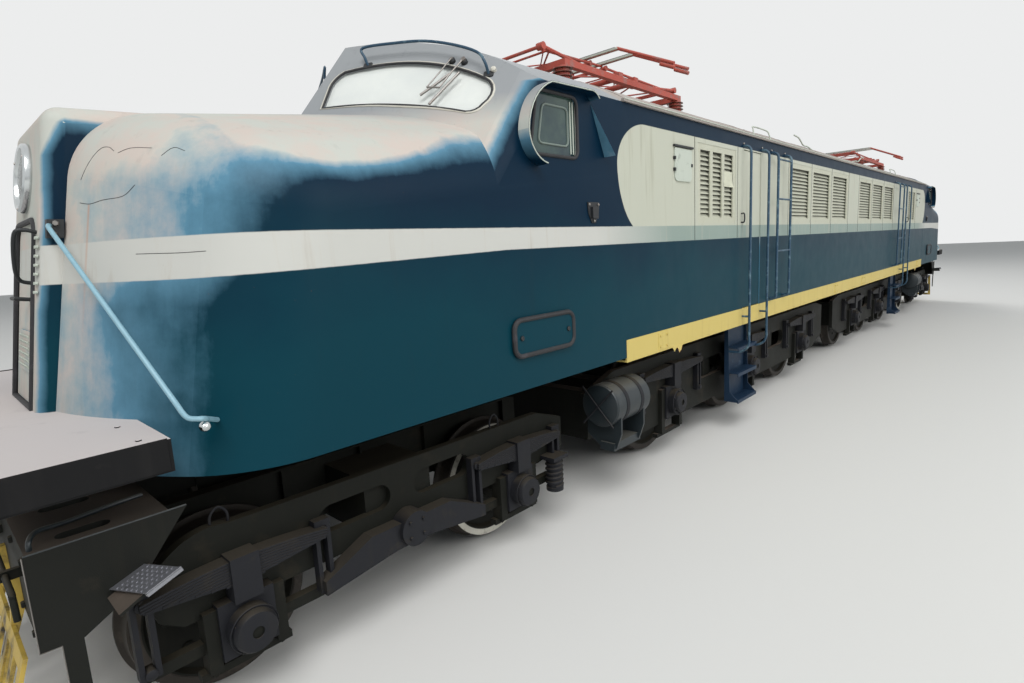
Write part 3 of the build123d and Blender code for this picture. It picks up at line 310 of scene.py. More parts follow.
# sill enamel, brushed: straw yellow with brown water marks, half glossy
sill_enamel = weathered("straw_yellow_enamel", "#c8b467", "#8f6a3a", 450, 0.05, 0.5, Specular_IOR_Level=0.35)
# cream enamel, sprayed: even and satin
cream_enamel = weathered("cream_enamel", "#c6c7b2", "#a5a188", 330, 0.08, 0.5, Specular_IOR_Level=0.35)
# louvre enamel, sprayed: the same cream, with near-black painted shade on the underside of every slat
louvre_enamel = weathered("louvre_enamel_painted_shade", "#b7b8a6", "#9c987f", 330, 0.08, 0.5, underside_shade="#1c1d18")
# tube enamel, brushed: blue-grey, rubbed paler where hands and boots go
ladder_enamel = weathered("rubbed_blue_enamel", "#274459", "#5f7984", 90, 0.2, 0.42, Specular_IOR_Level=0.4)
# step enamel, brushed on folded sheet: dark navy, scraped by boots
step_enamel = weathered("scraped_step_enamel", "#12293f", "#33475a", 140, 0.12, 0.5, Specular_IOR_Level=0.3)
# nose rail enamel, brushed: sun-bleached sky blue that catches the light
rail_enamel = weathered("bleached_sky_enamel", "#84aab8", "#4f7888", 90, 0.12, 0.36)
# deck enamel, rolled: near black where it stands upright, pale with dust on top
deck_enamel = weathered("dusty_deck_enamel", "#161617", "#2c2a29", 300, 0.14, 0.7, dust="#d3cbc8",
                        Specular_IOR_Level=0.15)
print("paints so far", len(bpy.data.materials))

# %% Weathered finishes: steel, more paints, rubber and glaze
# cast and plate steel, oiled: nearly black with brown dust, no shine left
cast_steel = weathered("oily_cast_steel", "#171814", "#26231c", 260, 0.14, 0.6, 5, 1.0, "#3a362d",
                       Specular_IOR_Level=0.15)
# frame plate steel, brushed with bitumen: as black, with pale dust on its shelves
frame_steel = weathered("dusty_frame_steel", "#191a17", "#2a2721", 260, 0.14, 0.6, 5, 1.0, "#5a5149",
                        Specular_IOR_Level=0.15)
# spring and axlebox steel: bluish black, slightly smoother than the castings
box_steel = weathered("blue_black_steel", "#1d1e22", "#2d2a25", 200, 0.14, 0.55, 6, 0.6, "#403b33",
                      Specular_IOR_Level=0.2)
# reservoir enamel, brushed: dark slate that still reflects a little
tank_enamel = weathered("slate_tank_enamel", "#1e262a", "#2f3536", 250, 0.12, 0.4, dust="#5d5c56")
# pantograph enamel, brushed on tube: red lead faded to dusty pink
pantograph_enamel = weathered("faded_red_enamel", "#a84a3c", "#8d6660", 170, 0.18, 0.55, dust="#b98c86")
# collector strip, moulded carbon in sheet: dull mid grey with a rubbed top
strip_carbon = weathered("rubbed_strip_carbon", "#6b6c6d", "#8e8a88", 120, 0.14, 0.5)
# machine room enamel, sprayed: green-grey, clean
machine_enamel = weathered("machine_room_enamel", "#6f7b74", "#4d554f", 500, 0.12, 0.5)
# rim enamel, brushed by hand: chalky white, dirty near the edge
rim_enamel = weathered("white_rim_enamel", "#c9c6ba", "#857d73", 110, 0.14, 0.6)
# pilot enamel, brushed: yellow chipped to black primer
pilot_enamel = weathered("chipped_pilot_enamel", "#b29742", "#2c2822", 200, 0.2, 0.55)
# extruded rubber, aged: soft black going grey, no gloss
gasket_rubber = weathered("aged_gasket_rubber", "#1d1d20", "#3b383d", 110, 0.14, 0.65, 4, 0.15, IOR=1.52)
# lamp and bracket steel, painted black: plain and dull, with a soft edge light
bracket_steel = weathered("black_bracket_steel", "#15181b", "#2b2c2d", 90, 0.12, 0.5, 4, 0.2)
# insulator porcelain, glazed: brown and wet-looking
porcelain = weathered("brown_glazed_porcelain", "#5a3426", "#3a221a", 300, 0.1, 0.25, 30, 0.05, IOR=1.6)
# tyre and bolt steel, turned and bare: grey metal with rust freckles
tyre_steel = weathered("bare_turned_steel", "#8b8783", "#5f4a3c", 90, 0.14, 0.4, 3, 0.15, Metallic=0.9)
# wheel tyre steel, rolled and greasy: brown-black with dull patches of metal
greasy_tyre = weathered("greasy_tyre_steel", "#2c2722", "#4a433b", 120, 0.14, 0.55, 4, 0.3, Metallic=0.4)
# lamp bowl, silvered copper gone dark: a dim mirror
dark_mirror = weathered("tarnished_lamp_silver", "#4d524e", "#2f332f", 80, 0.14, 0.2, 3, 0.02, Metallic=1.0)
# tread sheet, aluminium alloy, rolled: bright and scuffed by boots
tread_alloy = weathered("scuffed_tread_alloy", "#93949a", "#6d6e72", 60, 0.14, 0.4, 3, 0.2, Metallic=0.8)
# lamp ring, chromium plate: mirror-like, slightly hazed
lamp_chrome = weathered("hazed_chromium_plate", "#c6cacb", "#a3a7a8", 60, 0.1, 0.2, 2, 0.02, Metallic=1.0)
# rust: open, orange-brown and matt
rust_scale = weathered("rust_scale", "#7a4a2c", "#4a2e20", 40, 0.2, 0.8, 3, 0.6)
print("finishes", len(bpy.data.materials))

# %% [markdown]
# ## Glazing
# The windscreens are flat laminated glass that years of dust have turned almost white by day. The side windows
# are cleaner and show the dark cab behind a green tint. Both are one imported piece, so the finish picks the
# window by how far out it sits. Real glass would pass nearly all light, but then the dust, which is what the
# eye sees, would be lost; so most of the light is scattered at the surface.

# %% Dusty glass
cab_glass, tree, shader, coordinates = new_finish(
    "dusty_laminated_glass", IOR=1.52, Transmission_Weight=0.1, Roughness=0.1
)
place = coordinates["Object"]
split = add_node(tree, "SeparateXYZ", place)
away = add_node(tree, "Math", split.outputs[1], operation="ABSOLUTE")
at_side = add_node(tree, "MapRange", away, 1.49, 1.5)
# wiped arcs and dust banks about 400 mm across
smears = add_node(tree, "TexNoise", place, 1000 / 400, 5, 0.6)
smear_mask = add_node(tree, "MapRange", smears, 0.35, 0.7)
front_dust = add_node(tree, "Mix", smear_mask, linear("#dfe3df"), linear("#ecefe9"), data_type="RGBA")
side_dust = add_node(tree, "Mix", smear_mask, linear("#223640"), linear("#4c6056"), data_type="RGBA")
add_node(tree, "Mix", at_side, front_dust, side_dust, data_type="RGBA", to=shader.inputs["Base Color"])
add_node(tree, "Bump", 1, 0.0002, None, smears, to=shader.inputs["Normal"])

# pressed lamp glass: clear, with a lens face that breaks the light into soft bands
lens_glass, tree, shader, coordinates = new_finish(
    "pressed_lamp_glass", IOR=1.52, Transmission_Weight=0.7, Specular_IOR_Level=0.15
)
flutes = add_node(tree, "TexWave", coordinates["Object"], 1000 / 60, 1.5, bands_direction="Y")
shader.inputs["Base Color"].default_value = linear("#7d8985")
add_node(tree, "MapRange", flutes, 0, 1, 0.04, 0.2, to=shader.inputs["Roughness"])
add_node(tree, "Bump", 0.6, 0.001, None, flutes, to=shader.inputs["Normal"])
print("glazing ready")

# %% [markdown]
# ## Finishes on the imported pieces
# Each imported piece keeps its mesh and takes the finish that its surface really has. A table of names is
# enough, because every piece is one paint.

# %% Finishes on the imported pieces
finish_by_start = [
    ("nose_cab", livery), ("body_side", livery), ("side_door", livery), ("nose_door", livery),
    ("louvres", louvre_enamel), ("roof", roof_enamel), ("sills", sill_enamel), ("underframe", cast_steel),
    ("machine_block", machine_enamel), ("cab_interiors", machine_enamel), ("platforms", deck_enamel),
    ("cab_glass", cab_glass), ("pantograph", pantograph_enamel), ("pilot", pilot_enamel),
    ("main_frame", frame_steel), ("driving_gear", box_steel), ("guiding_gear", box_steel),
    ("air_reservoirs", tank_enamel),
]
for node_name, node_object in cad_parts.items():
    finish = next((material for start, material in finish_by_start if node_name.startswith(start)), cast_steel)
    node_object.data.materials.clear()
    node_object.data.materials.append(finish)
print("finished packed pieces:", len(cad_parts))

# %% [markdown]
# ## Shapes from numbers
# Small fittings are bars, plates and turned parts. Each helper below returns plain points and faces, so that
# one shape can be copied to the other side and the other end before it becomes a piece. Modelling them by
# hand would give the same meshes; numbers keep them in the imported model's own frame.

# %% Shape helpers: bars
ALONG, ASIDE, UP = (1, 0, 0), (0, 1, 0), (0, 0, 1)


def bent(points, steps=6):
    """Points along a smooth bend that passes through the given ones."""
    points = [Vector(p) for p in points]
    points = [points[0] * 2 - points[1]] + points + [points[-1] * 2 - points[-2]]
    line = []
    for a, b, c, d in zip(points, points[1:], points[2:], points[3:]):
        square, cube = a * 2 - b * 5 + c * 4 - d, b * 3 - a - c * 3 + d
        for step in range(steps):
            t = step / steps
            line.append((b * 2 + (c - a) * t + square * t**2 + cube * t**3) / 2)
    return line + [points[-2]]


def ring_round(centre, side, other, radius, count):
    """Points round a circle that lies in the plane of two directions."""
    angles = [2 * math.pi * k / count for k in range(count)]
    return [centre + (side * math.cos(angle) + other * math.sin(angle)) * radius for angle in angles]


def skin(rings, sides, closed):
    """Faces between rings of points; a skin that isn't closed gets a cap at each end."""
    faces = []
    for ring in range(rings if closed else rings - 1):
        here, there = ring * sides, (ring + 1) % rings * sides
        faces += [(here + k, here + (k + 1) % sides, there + (k + 1) % sides, there + k) for k in range(sides)]
    return faces if closed else faces + [tuple(range(sides)), tuple(range((rings - 1) * sides, rings * sides))]


def tube(points, radius, sides=10, loop=False):
    """A round bar along its points; its section keeps its direction as the bar bends."""
    points = [Vector(p) for p in points]
    count = len(points)
    rings, side = [], None
    for i, point in enumerate(points):
        before = points[i - 1] if i or loop else point
        after = points[(i + 1) % count] if i + 1 < count or loop else point
        along = ((after - point).normalized() + (point - before).normalized()).normalized()
        side = side or along.orthogonal()
        side = (side - along * side.dot(along)).normalized()
        rings += ring_round(point, side, along.cross(side), radius, sides)
    return rings, skin(count, sides, loop)


def coil(foot, top, radius, wire, turns, sides=6):
    """A coil spring between two points."""
    foot, top = Vector(foot), Vector(top)
    along = (top - foot).normalized()
    side = along.orthogonal().normalized()
    other = along.cross(side)
    steps, line = turns * 12, []
    for step in range(steps + 1):
        angle = 2 * math.pi * step / 12
        line.append(foot.lerp(top, step / steps) + (side * math.cos(angle) + other * math.sin(angle)) * radius)
    return tube(line, wire, sides)


print("a straight tube has", len(tube([(0, 0, 0), ALONG], 0.01)[1]), "faces")


# %% Shape helpers: plates and turned parts
def plate(outline, origin, across, up, depth):
    """A flat piece: its outline in the plane of across and up, and its depth along their normal."""
    across, up, origin = Vector(across), Vector(up), Vector(origin)
    normal = across.cross(up).normalized()
    near = [origin + across * u + up * v for u, v in outline]
    n = len(outline)
    faces = [tuple(range(n)), tuple(range(n, 2 * n))]
    faces += [(i, (i + 1) % n, n + (i + 1) % n, n + i) for i in range(n)]
    return near + [p + normal * depth for p in near], faces


def side_plate(outline, y, depth):
    """A plate parallel to the body's side: its outline in X and Z, its outer face's Y, its depth inward."""
    return plate(outline, (0, y, 0), ALONG, UP, depth)


def block(low, high):
    """A bar of plate stock between two corners."""
    outline = [(low[0], low[2]), (high[0], low[2]), (high[0], high[2]), (low[0], high[2])]
    return side_plate(outline, high[1], high[1] - low[1])


def turned(profile, centre, axis, steps=32, ring=False):
    """A lathe-turned piece from radii and distances along its axis; a ring joins its profile's two ends."""
    axis, centre = Vector(axis).normalized(), Vector(centre)
    side = axis.orthogonal().normalized()
    points = []
    for radius, along in profile:
        points += ring_round(centre + axis * along, side, axis.cross(side), radius, steps)
    return points, skin(len(profile), steps, ring)


def rounded(width, height, corner, steps=5):
    """A rectangle's outline with rounded corners, about its middle."""
    outline = []
    for quarter, (sx, sy) in enumerate(((1, 1), (-1, 1), (-1, -1), (1, -1))):
        for step in range(steps + 1):
            angle = math.pi / 2 * (quarter + step / steps)
            outline.append((sx * (width / 2 - corner) + corner * math.cos(angle),
                            sy * (height / 2 - corner) + corner * math.sin(angle)))
    return outline


print("a rounded outline has", len(rounded(0.1, 0.1, 0.01)), "points")

# %% [markdown]
# ## From shapes to pieces
# The machine has two like sides and two like ends, so a fitting is written once and copied by turning over its
# X, its Y or both. A mirror modifier would do the same; copies made in the mesh let one piece hold all four.
# A piece then takes one finish for each group of shapes, a softened edge, and the body that it rides on.


# %% Shape helpers: copies and pieces
ONCE = ((1, 1),)
SIDES = ((1, 1), (1, -1))
HALF_TURN = ((1, 1), (-1, -1))
CORNERS = ((1, 1), (1, -1), (-1, 1), (-1, -1))
# faces that meet at less than the first angle shade as one, and the second angle is where edges are softened
SMOOTH_ANGLE, EDGE_ANGLE = math.radians(38), math.radians(40)
ends = (("front", 1), ("rear", -1))


def together(shapes):
    """Several shapes as one."""
    points, faces = [], []
    for shape_points, shape_faces in shapes:
        faces += [[len(points) + i for i in face] for face in shape_faces]
        points += [Vector(p) for p in shape_points]
    return points, faces


def copies(shape, places):
    """The shape once for each pair of signs of its X and its Y."""
    points, faces = shape
    return together([([Vector((p[0] * x, p[1] * y, p[2])) for p in points], faces) for x, y in places])


def bolts(centres, axis, radius=0.012, height=0.010):
    """Hexagon heads with a chamfered top."""
    profile = [(radius, 0), (radius, height * 0.7), (radius * 0.8, height)]
    return together([turned(profile, centre, axis, 6) for centre in centres])


def add_piece(name, parts, body, edge_mm=0, places=ONCE, replaces=()):
    """Joins parts, each a finish and its shapes, into one piece that rides on a body."""
    points, faces, finish_numbers = [], [], []
    mesh = bpy.data.meshes.new(name)
    for number, (finish, *shapes) in enumerate(parts):
        part_points, part_faces = copies(together(shapes), places)
        faces += [[len(points) + i for i in face] for face in part_faces]
        points += part_points
        finish_numbers += [number] * len(part_faces)
        mesh.materials.append(finish)
    mesh.from_pydata(points, [], faces)
    mesh.polygons.foreach_set("material_index", finish_numbers)
    editable = bmesh.new()
    editable.from_mesh(mesh)
    bmesh.ops.recalc_face_normals(editable, faces=editable.faces)
    editable.to_mesh(mesh)
    editable.free()
    mesh.shade_smooth()
    mesh.set_sharp_from_angle(angle=SMOOTH_ANGLE)
    piece = bpy.data.objects.new(name, mesh)
    bpy.context.scene.collection.objects.link(piece)
    if edge_mm:
        edge = piece.modifiers.new("softened_edges", "BEVEL")
        edge.width = edge_mm / 1000
        edge.segments = 2
        edge.limit_method = "ANGLE"
        edge.angle_limit = EDGE_ANGLE
    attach(piece, body)
    if replaces:
        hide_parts(*replaces)
    print(name, len(faces), "faces")


print("a bolt head at four corners has", len(copies(bolts([(1, 1, 1)], UP), CORNERS)[1]), "faces")

# %% [markdown]
# ## Windscreens
# Each windscreen is held in a rubber gasket whose lip stands proud of the steel, with a bead of old sealant
# round it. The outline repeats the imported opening's points on the raked plane of the cab's front, so the
# gasket is a bar that follows it. A boolean cut would give the same rim with a worse mesh.

# %% Windscreens: the raked plane and its outline
front_normal = Vector((0.585, 0.305, 0.455)).normalized()
front_across = Vector((-front_normal.y, front_normal.x, 0)).normalized()
front_up = front_normal.cross(front_across)
front_foot = Vector((9.08, 0, 3.35))


def on_front(u, v, out=0.0):
    """A point on the left half of the cab's front, from millimetres across, up and out."""
    return front_foot + (front_across * u + front_up * v + front_normal * out) / 1000


def arc_through(start, middle, end, steps):
    """Points on the circle through three points, without the last one."""
    (ax, ay), (bx, by), (cx, cy) = start, middle, end
    aa, bb, cc = ax**2 + ay**2, bx**2 + by**2, cx**2 + cy**2
    d = 2 * (ax * (by - cy) + bx * (cy - ay) + cx * (ay - by))
    ux = (aa * (by - cy) + bb * (cy - ay) + cc * (ay - by)) / d
    uy = (aa * (cx - bx) + bb * (ax - cx) + cc * (bx - ax)) / d
    first = math.atan2(ay - uy, ax - ux)
    turn = (math.atan2(cy - uy, cx - ux) - first + math.pi) % (2 * math.pi) - math.pi
    radius = math.hypot(ax - ux, ay - uy)
    angles = [first + turn * step / steps for step in range(steps)]
    return [(ux + radius * math.cos(angle), uy + radius * math.sin(angle)) for angle in angles]


screen_outline = [(165, 5)]
for start, middle, end, steps in (
    ((175, 215), (200, 290), (262, 352), 5),
    ((262, 352), (800, 345), (1390, 85), 14),
    ((1390, 85), (1452, -30), (1400, -150), 6),
    ((1400, -150), (1350, -196), (1290, -200), 4),
    ((1290, -200), (759, -52), (165, 5), 12),
):
    screen_outline += arc_through(start, middle, end, steps)
print("windscreen outline:", len(screen_outline), "points")

# %% Windscreens: gaskets
screen_sum = Vector([sum(values) for values in zip(*screen_outline)])
screen_middle = screen_sum / len(screen_outline)


def screen_ring(grow_mm, out_mm):
    """The windscreen's outline, grown outward on the cab's front."""
    ring = []
    for point in screen_outline:
        grown = Vector(point) + (Vector(point) - screen_middle).normalized() * grow_mm
        ring.append(on_front(grown.x, grown.y, out_mm))
    return ring


add_piece("windscreen_gaskets", [
    (gasket_rubber, tube(screen_ring(2, 2), 0.009, 8, loop=True)),
    (rim_enamel, tube(screen_ring(15, 0), 0.009, 6, loop=True)),
], "root", 0, CORNERS)

# %% [markdown]
# ## Wipers and windscreen rails
# The wiper is the parallel-arm kind: two spindles above the screen, two arms and two blades, parked half way.
# A cleaner's rail of bent tube runs above each screen. Both are bars, so both come from points on the same
# raked plane.

# %% Wipers
wiper_routes = [
    (0.017, [(1214, 268, -2), (1214, 268, 40)]),
    (0.012, [(1120, 296, -2), (1120, 296, 34)]),
    (0.006, [(1214, 268, 34), (1150, 150, 38), (1080, 20, 34)]),
    (0.005, [(1120, 296, 30), (1055, 160, 36), (985, 40, 34)]),
    (0.009, [(1137, 146, 30), (1040, 62, 27), (943, -17, 24)]),
    (0.009, [(1203, 143, 30), (1115, 18, 27), (1026, -114, 24)]),
    (0.006, [(1080, 20, 34), (985, 40, 34)]),
]
wiper_bars = [tube([on_front(*p) for p in route], radius) for radius, route in wiper_routes]
hub_profile = [(0.024, -0.002), (0.024, 0.02), (0.016, 0.028)]
wiper_hubs = [turned(hub_profile, on_front(u, v), front_normal, 16) for u, v in ((1214, 268), (1120, 296))]
wiper_parts = [(tyre_steel, *wiper_bars), (bracket_steel, *wiper_hubs)]
add_piece("wipers", wiper_parts, "root", 0.5, CORNERS)

# %% Windscreen rails
rail_route = [(442, 386, 0), (430, 420, 45), (417, 483, 80), (680, 474, 85), (922, 436, 90), (1161, 348, 88),
              (1333, 248, 85), (1395, 160, 75), (1408, 120, 0)]
screen_rail = tube(bent([on_front(*p) for p in rail_route], 5), 0.010)
rail_feet = [plate(rounded(0.07, 0.05, 0.012), on_front(u, v), front_across, front_up, 0.009)
             for u, v in ((442, 386), (1408, 120))]
lug = turned([(0.02, -0.002), (0.02, 0.02), (0.012, 0.028)], on_front(1440, 150), front_normal, 16)
screen_rail_parts = [(ladder_enamel, screen_rail), (bracket_steel, *rail_feet), (rim_enamel, lug)]
add_piece("windscreen_rails", screen_rail_parts, "root", 0.5, CORNERS)

# %% [markdown]
# ## Cab side windows
# The side window sits in a dark gasket with an olive sash inside it and a pair of pale slide rails at its rear
# edge. A folded steel hood shields it; the thin pale bar along its rolled edge is a painted highlight, made a
# bar because the imported hood is plain sheet.


# %% Cab side windows
def softened(corners, radius, steps=5):
    """A closed outline with every corner cut to a short curve."""
    outline = []
    for i, corner in enumerate(corners):
        here, before, after = Vector(corner), Vector(corners[i - 1]), Vector(corners[(i + 1) % len(corners)])
        start = here + (before - here).normalized() * radius
        end = here + (after - here).normalized() * radius
        for step in range(steps + 1):
            t = step / steps
            outline.append(start * (1 - t) ** 2 + here * 2 * t * (1 - t) + end * t**2)
    return outline


side_y = 1.525
window_outline = softened([(7.815, 2.900), (8.340, 2.900), (8.250, 3.315), (7.815, 3.315)], 0.07)
window_middle = sum(window_outline, Vector((0, 0))) / len(window_outline)
sash_outline = [window_middle + (p - window_middle) * 0.62 for p in window_outline]
rail_inset = side_y - 0.016
slide_rails = [tube([(x, rail_inset, 2.93), (x, rail_inset, 3.285)], 0.005) for x in (7.845, 7.875)]
add_piece("side_window_rims", [
    (gasket_rubber, tube([(p.x, side_y + 0.001, p.y) for p in window_outline], 0.012, 8, loop=True)),
    (machine_enamel, tube([(p.x, side_y - 0.017, p.y) for p in sash_outline], 0.008, 6, loop=True)),
    (edge_enamel, *slide_rails),
], "root", 0, CORNERS)

# %% Window hoods' edges: a painted highlight
hood_edge = arc_through((8.260, 2.830), (8.395, 2.910), (8.435, 3.030), 8)
hood_edge += arc_through((8.435, 3.030), (8.350, 3.235), (8.180, 3.350), 8)
hood_edge += [(8.180, 3.350)] + arc_through((7.760, 3.362), (7.685, 3.352), (7.645, 3.320), 4)
hood_edge.append((7.645, 3.320))
# a pale bar along the hood's edge: a painted highlight
hood_highlight_bead = tube([(x, 1.610, z) for x, z in hood_edge], 0.0045, 8)
add_piece("window_hood_highlight_beads", [(edge_enamel, hood_highlight_bead)], "root", 0, CORNERS)

# %% [markdown]
# ## Filler and seams
# Old filler on the nose has cracked in thin dark lines. A line can't be drawn on a doubly curved cheek by
# numbers alone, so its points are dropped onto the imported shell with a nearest-point query and a hair-thin
# bar follows them. The upright seams between the body's sheets are thin dark bars too.

# %% Cracks and seams
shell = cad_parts["nose_cab_front"]


def on_shell(points, out=0.0):
    """The nearest points of the nose's surface, lifted off it by a distance."""
    landed = []
    for point in points:
        _, location, normal, _ = shell.closest_point_on_mesh(Vector(point))
        landed.append(location + normal * out)
    return landed


crack_routes = [
    [(10.601, 0.583, 2.725), (10.529, 0.659, 2.855), (10.498, 0.715, 2.868), (10.490, 0.771, 2.842)],
    [(10.483, 0.803, 2.829), (10.442, 0.863, 2.846), (10.385, 0.972, 2.834)],
    [(10.620, 0.584, 2.615), (10.597, 0.667, 2.603), (10.563, 0.760, 2.614), (10.510, 0.886, 2.621),
     (10.472, 0.951, 2.666)],
    [(10.516, 0.976, 2.351), (10.405, 1.173, 2.345), (10.322, 1.292, 2.346)],
    [(10.340, 1.020, 2.770), (10.310, 1.060, 2.815), (10.290, 1.120, 2.800)],
]
cracks = [tube(on_shell(bent(route, 4), 0.0004), 0.0014, 5) for route in crack_routes]
add_piece("filler_cracks", [(bracket_steel, *cracks)], "root")

seam_places = (5.96, 4.936, 3.30, 2.34, 1.34, 0.34)
seams = [tube([(x, side_y, 2.285), (x, side_y, 3.245)], 0.003, 5) for x in seam_places]
add_piece("body_seams", [(bracket_steel, *seams)], "root", 0, CORNERS)

# %% [markdown]
# ## Small fittings on the sides
# A cut plate with a socket carries the tail lamp. A hinged cover hides a connection behind the cream panel, and
# a large hatch in a rubber ring gives access above the reservoirs. They are cut plates with bolts, and stand a
# few millimetres proud, because real ones cast a thin shadow line that a painted outline can't.

# %% Tail lamp brackets
bracket_outline = [(7.575, 2.60), (7.725, 2.60), (7.715, 2.52), (7.675, 2.45), (7.625, 2.45), (7.585, 2.52)]
bracket_plate = side_plate(bracket_outline, side_y + 0.010, 0.012)
socket_outline = [(7.615, 2.565), (7.685, 2.565), (7.685, 2.48), (7.615, 2.48)]
lamp_socket = side_plate(socket_outline, side_y + 0.03, 0.022)
bracket_bolts = [(x, side_y + 0.010, z) for x, z in ((7.592, 2.583), (7.708, 2.583), (7.65, 2.463))]
add_piece("tail_lamp_brackets", [
    (bracket_steel, bracket_plate, lamp_socket),
    (tyre_steel, bolts(bracket_bolts, ASIDE, 0.011, 0.009)),
], "root", 1.5, CORNERS)

# %% Side covers and hatches
cover_outline = [(6.04, 3.11), (6.04, 2.87)] + arc_through((6.04, 2.87), (6.058, 2.832), (6.10, 2.82), 5)[1:]
cover_outline += [(6.10, 2.82), (6.31, 2.82)] + arc_through((6.31, 2.82), (6.352, 2.832), (6.37, 2.87), 5)[1:]
cover_outline += [(6.37, 2.87), (6.37, 3.11)]
drip = block((6.02, side_y, 3.118), (6.39, side_y + 0.022, 3.136))
cover_lugs = [block((x - 0.012, side_y, z - 0.014), (x + 0.012, side_y + 0.02, z + 0.014))
              for x, z in ((6.375, 3.02), (6.375, 2.92), (6.045, 2.97))]
hatch_x, hatch_z, hatch_y = 8.28, 1.70, side_y + 0.022
hatch_outline = rounded(0.66, 0.265, 0.07)
hatch_ring = [(hatch_x + u * 0.955, side_y + 0.018, hatch_z + v * 0.91) for u, v in hatch_outline]
hatch_panel = [(hatch_x + u * 0.95, hatch_z + v * 0.9) for u, v in hatch_outline]
hatch_locks = bolts([(hatch_x + dx, hatch_y, hatch_z) for dx in (-0.25, 0.25)], ASIDE, 0.018, 0.012)
add_piece("side_covers_and_hatches", [
    (edge_enamel, side_plate(cover_outline, side_y + 0.012, 0.0125)), (bracket_steel, drip, *cover_lugs),
    (livery, side_plate(hatch_panel, hatch_y, 0.02)), (gasket_rubber, tube(hatch_ring, 0.018, 8, loop=True)),
    (bracket_steel, hatch_locks),
], "root", 1.5, CORNERS, replaces=["side_covers"])

# %% [markdown]
# ## A mended louvre and the door grips
# One column of louvres has been beaten flat and patched with a sheet that has sprung at a corner. A dented
# sheet is a grid of points pushed in and out by a few millimetres. Each side door has a bent grip.

# %% A mended louvre and the door grips
patch_columns, patch_rows = 7, 6
patch_points, patch_faces = [], []
for row in range(patch_rows + 1):
    for column in range(patch_columns + 1):
        u, v = column / patch_columns, row / patch_rows
        dent = 0.004 * math.sin(5.2 * u + 1.3) * math.cos(4.1 * v)
        sprung = 0.12 * max(0, u - 0.75) * max(0, 0.4 - v)
        patch_points.append(Vector((5.285 - 0.215 * u, side_y - 0.004 + dent + sprung, 2.815 + 0.155 * v)))
for row in range(patch_rows):
    for column in range(patch_columns):
        corner = row * (patch_columns + 1) + column
        patch_faces.append((corner, corner + 1, corner + patch_columns + 2, corner + patch_columns + 1))
add_piece("louvre_patch", [(cream_enamel, (patch_points, patch_faces))], "root")
grip_y = side_y + 0.035
side_grip_route = [(4.83, side_y, 2.545), (4.83, grip_y, 2.54), (4.83, grip_y, 2.455), (4.83, side_y, 2.45)]
door_grip = tube(bent(side_grip_route, 4), 0.008)
add_piece("door_grips", [(bracket_steel, door_grip)], "root", 0.5, CORNERS)

# %% [markdown]
# ## Ladders, steps and rails
# The rails beside the doors and the roof ladder are steel tube bent at the top, so they are bars along smooth
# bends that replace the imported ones, which have square corners. The treads are folded alloy sheet on a step
# board with a cheek at each side.

# %% Rails and the roof ladder
rail_y = 1.61
tubes = []


def rail_top_bend(x):
    """A rail's upper end, bent from the body's side out to the rail's own plane."""
    return bent([(x, side_y, 3.265), (x, side_y + 0.045, 3.255), (x, rail_y - 0.008, 3.225),
                 (x, rail_y, 3.17)], 5)


for x in (4.240, 4.780):
    hook = [(x, rail_y, 1.16), (x, rail_y, 1.10), (x, rail_y - 0.03, 1.03), (x, 1.50, 0.985), (x, 1.36, 0.98)]
    tubes.append(tube(rail_top_bend(x) + bent(hook, 5), 0.014, 12))
    tubes.append(tube([(x, rail_y, 1.4), (x, 1.529, 1.4)], 0.012, 10))
for x in (3.47, 3.93):
    curl = [(x, rail_y, 1.60), (x, rail_y - 0.004, 1.552), (x, rail_y - 0.03, 1.532), (x, side_y + 0.004, 1.53)]
    tubes.append(tube(rail_top_bend(x) + bent(curl, 5), 0.015, 12))
for z in (2.10, 2.72, 3.18):
    tubes.append(tube([(3.47, rail_y, z), (3.93, rail_y, z)], 0.0115, 10))
# the grab handle on the roof over the ladder, and the hooked rod behind it
handle = bent([(4.15, 1.40, 3.44), (4.13, 1.38, 3.54), (4.07, 1.36, 3.575), (3.68, 1.36, 3.575),
               (3.62, 1.38, 3.54), (3.60, 1.40, 3.44)], 4)
roof_hook = bent([(1.20, 1.20, 3.57), (1.45, 1.20, 3.605), (1.67, 1.20, 3.61), (1.87, 1.20, 3.69),
                  (2.09, 1.20, 3.71)], 4)
rail_bolts = bolts([(x, side_y, 3.29) for x in (3.47, 3.93, 4.24, 4.78)], ASIDE)
print("rail tubes", len(tubes))

# %% Steps
treads = []
for z in (0.40, 0.72, 1.02):
    treads.append(block((4.24, 1.345, z), (4.80, 1.50, z + 0.010)))
    treads.append(block((4.24, 1.492, z - 0.03), (4.80, 1.50, z)))
    treads += [block((4.28 + 0.065 * i, 1.37, z + 0.010), (4.31 + 0.065 * i, 1.47, z + 0.014))
               for i in range(8)]
treads.append(block((4.24, 1.335, 0.38), (4.80, 1.345, 1.30)))
cheek = [(1.345, 0.38), (1.345, 1.30), (1.375, 1.30), (1.40, 0.50), (1.50, 0.40), (1.50, 0.38)]
treads += [plate(cheek, (x, 0, 0), ASIDE, UP, 0.008) for x in (4.24, 4.792)]
add_piece("ladders_and_rails", [
    (ladder_enamel, *tubes), (step_enamel, *treads),
    (edge_enamel, tube(handle, 0.008), tube(roof_hook, 0.010)), (tyre_steel, rail_bolts),
], "root", 0.5, CORNERS, replaces=["ladders_and_handrails"])

# %% [markdown]
# ## Nose rails
# A bleached rail runs from a bracket beside the nose door out and down to the platform's corner, where it is
# bent level and hooks back into the shell under a round-headed bolt.

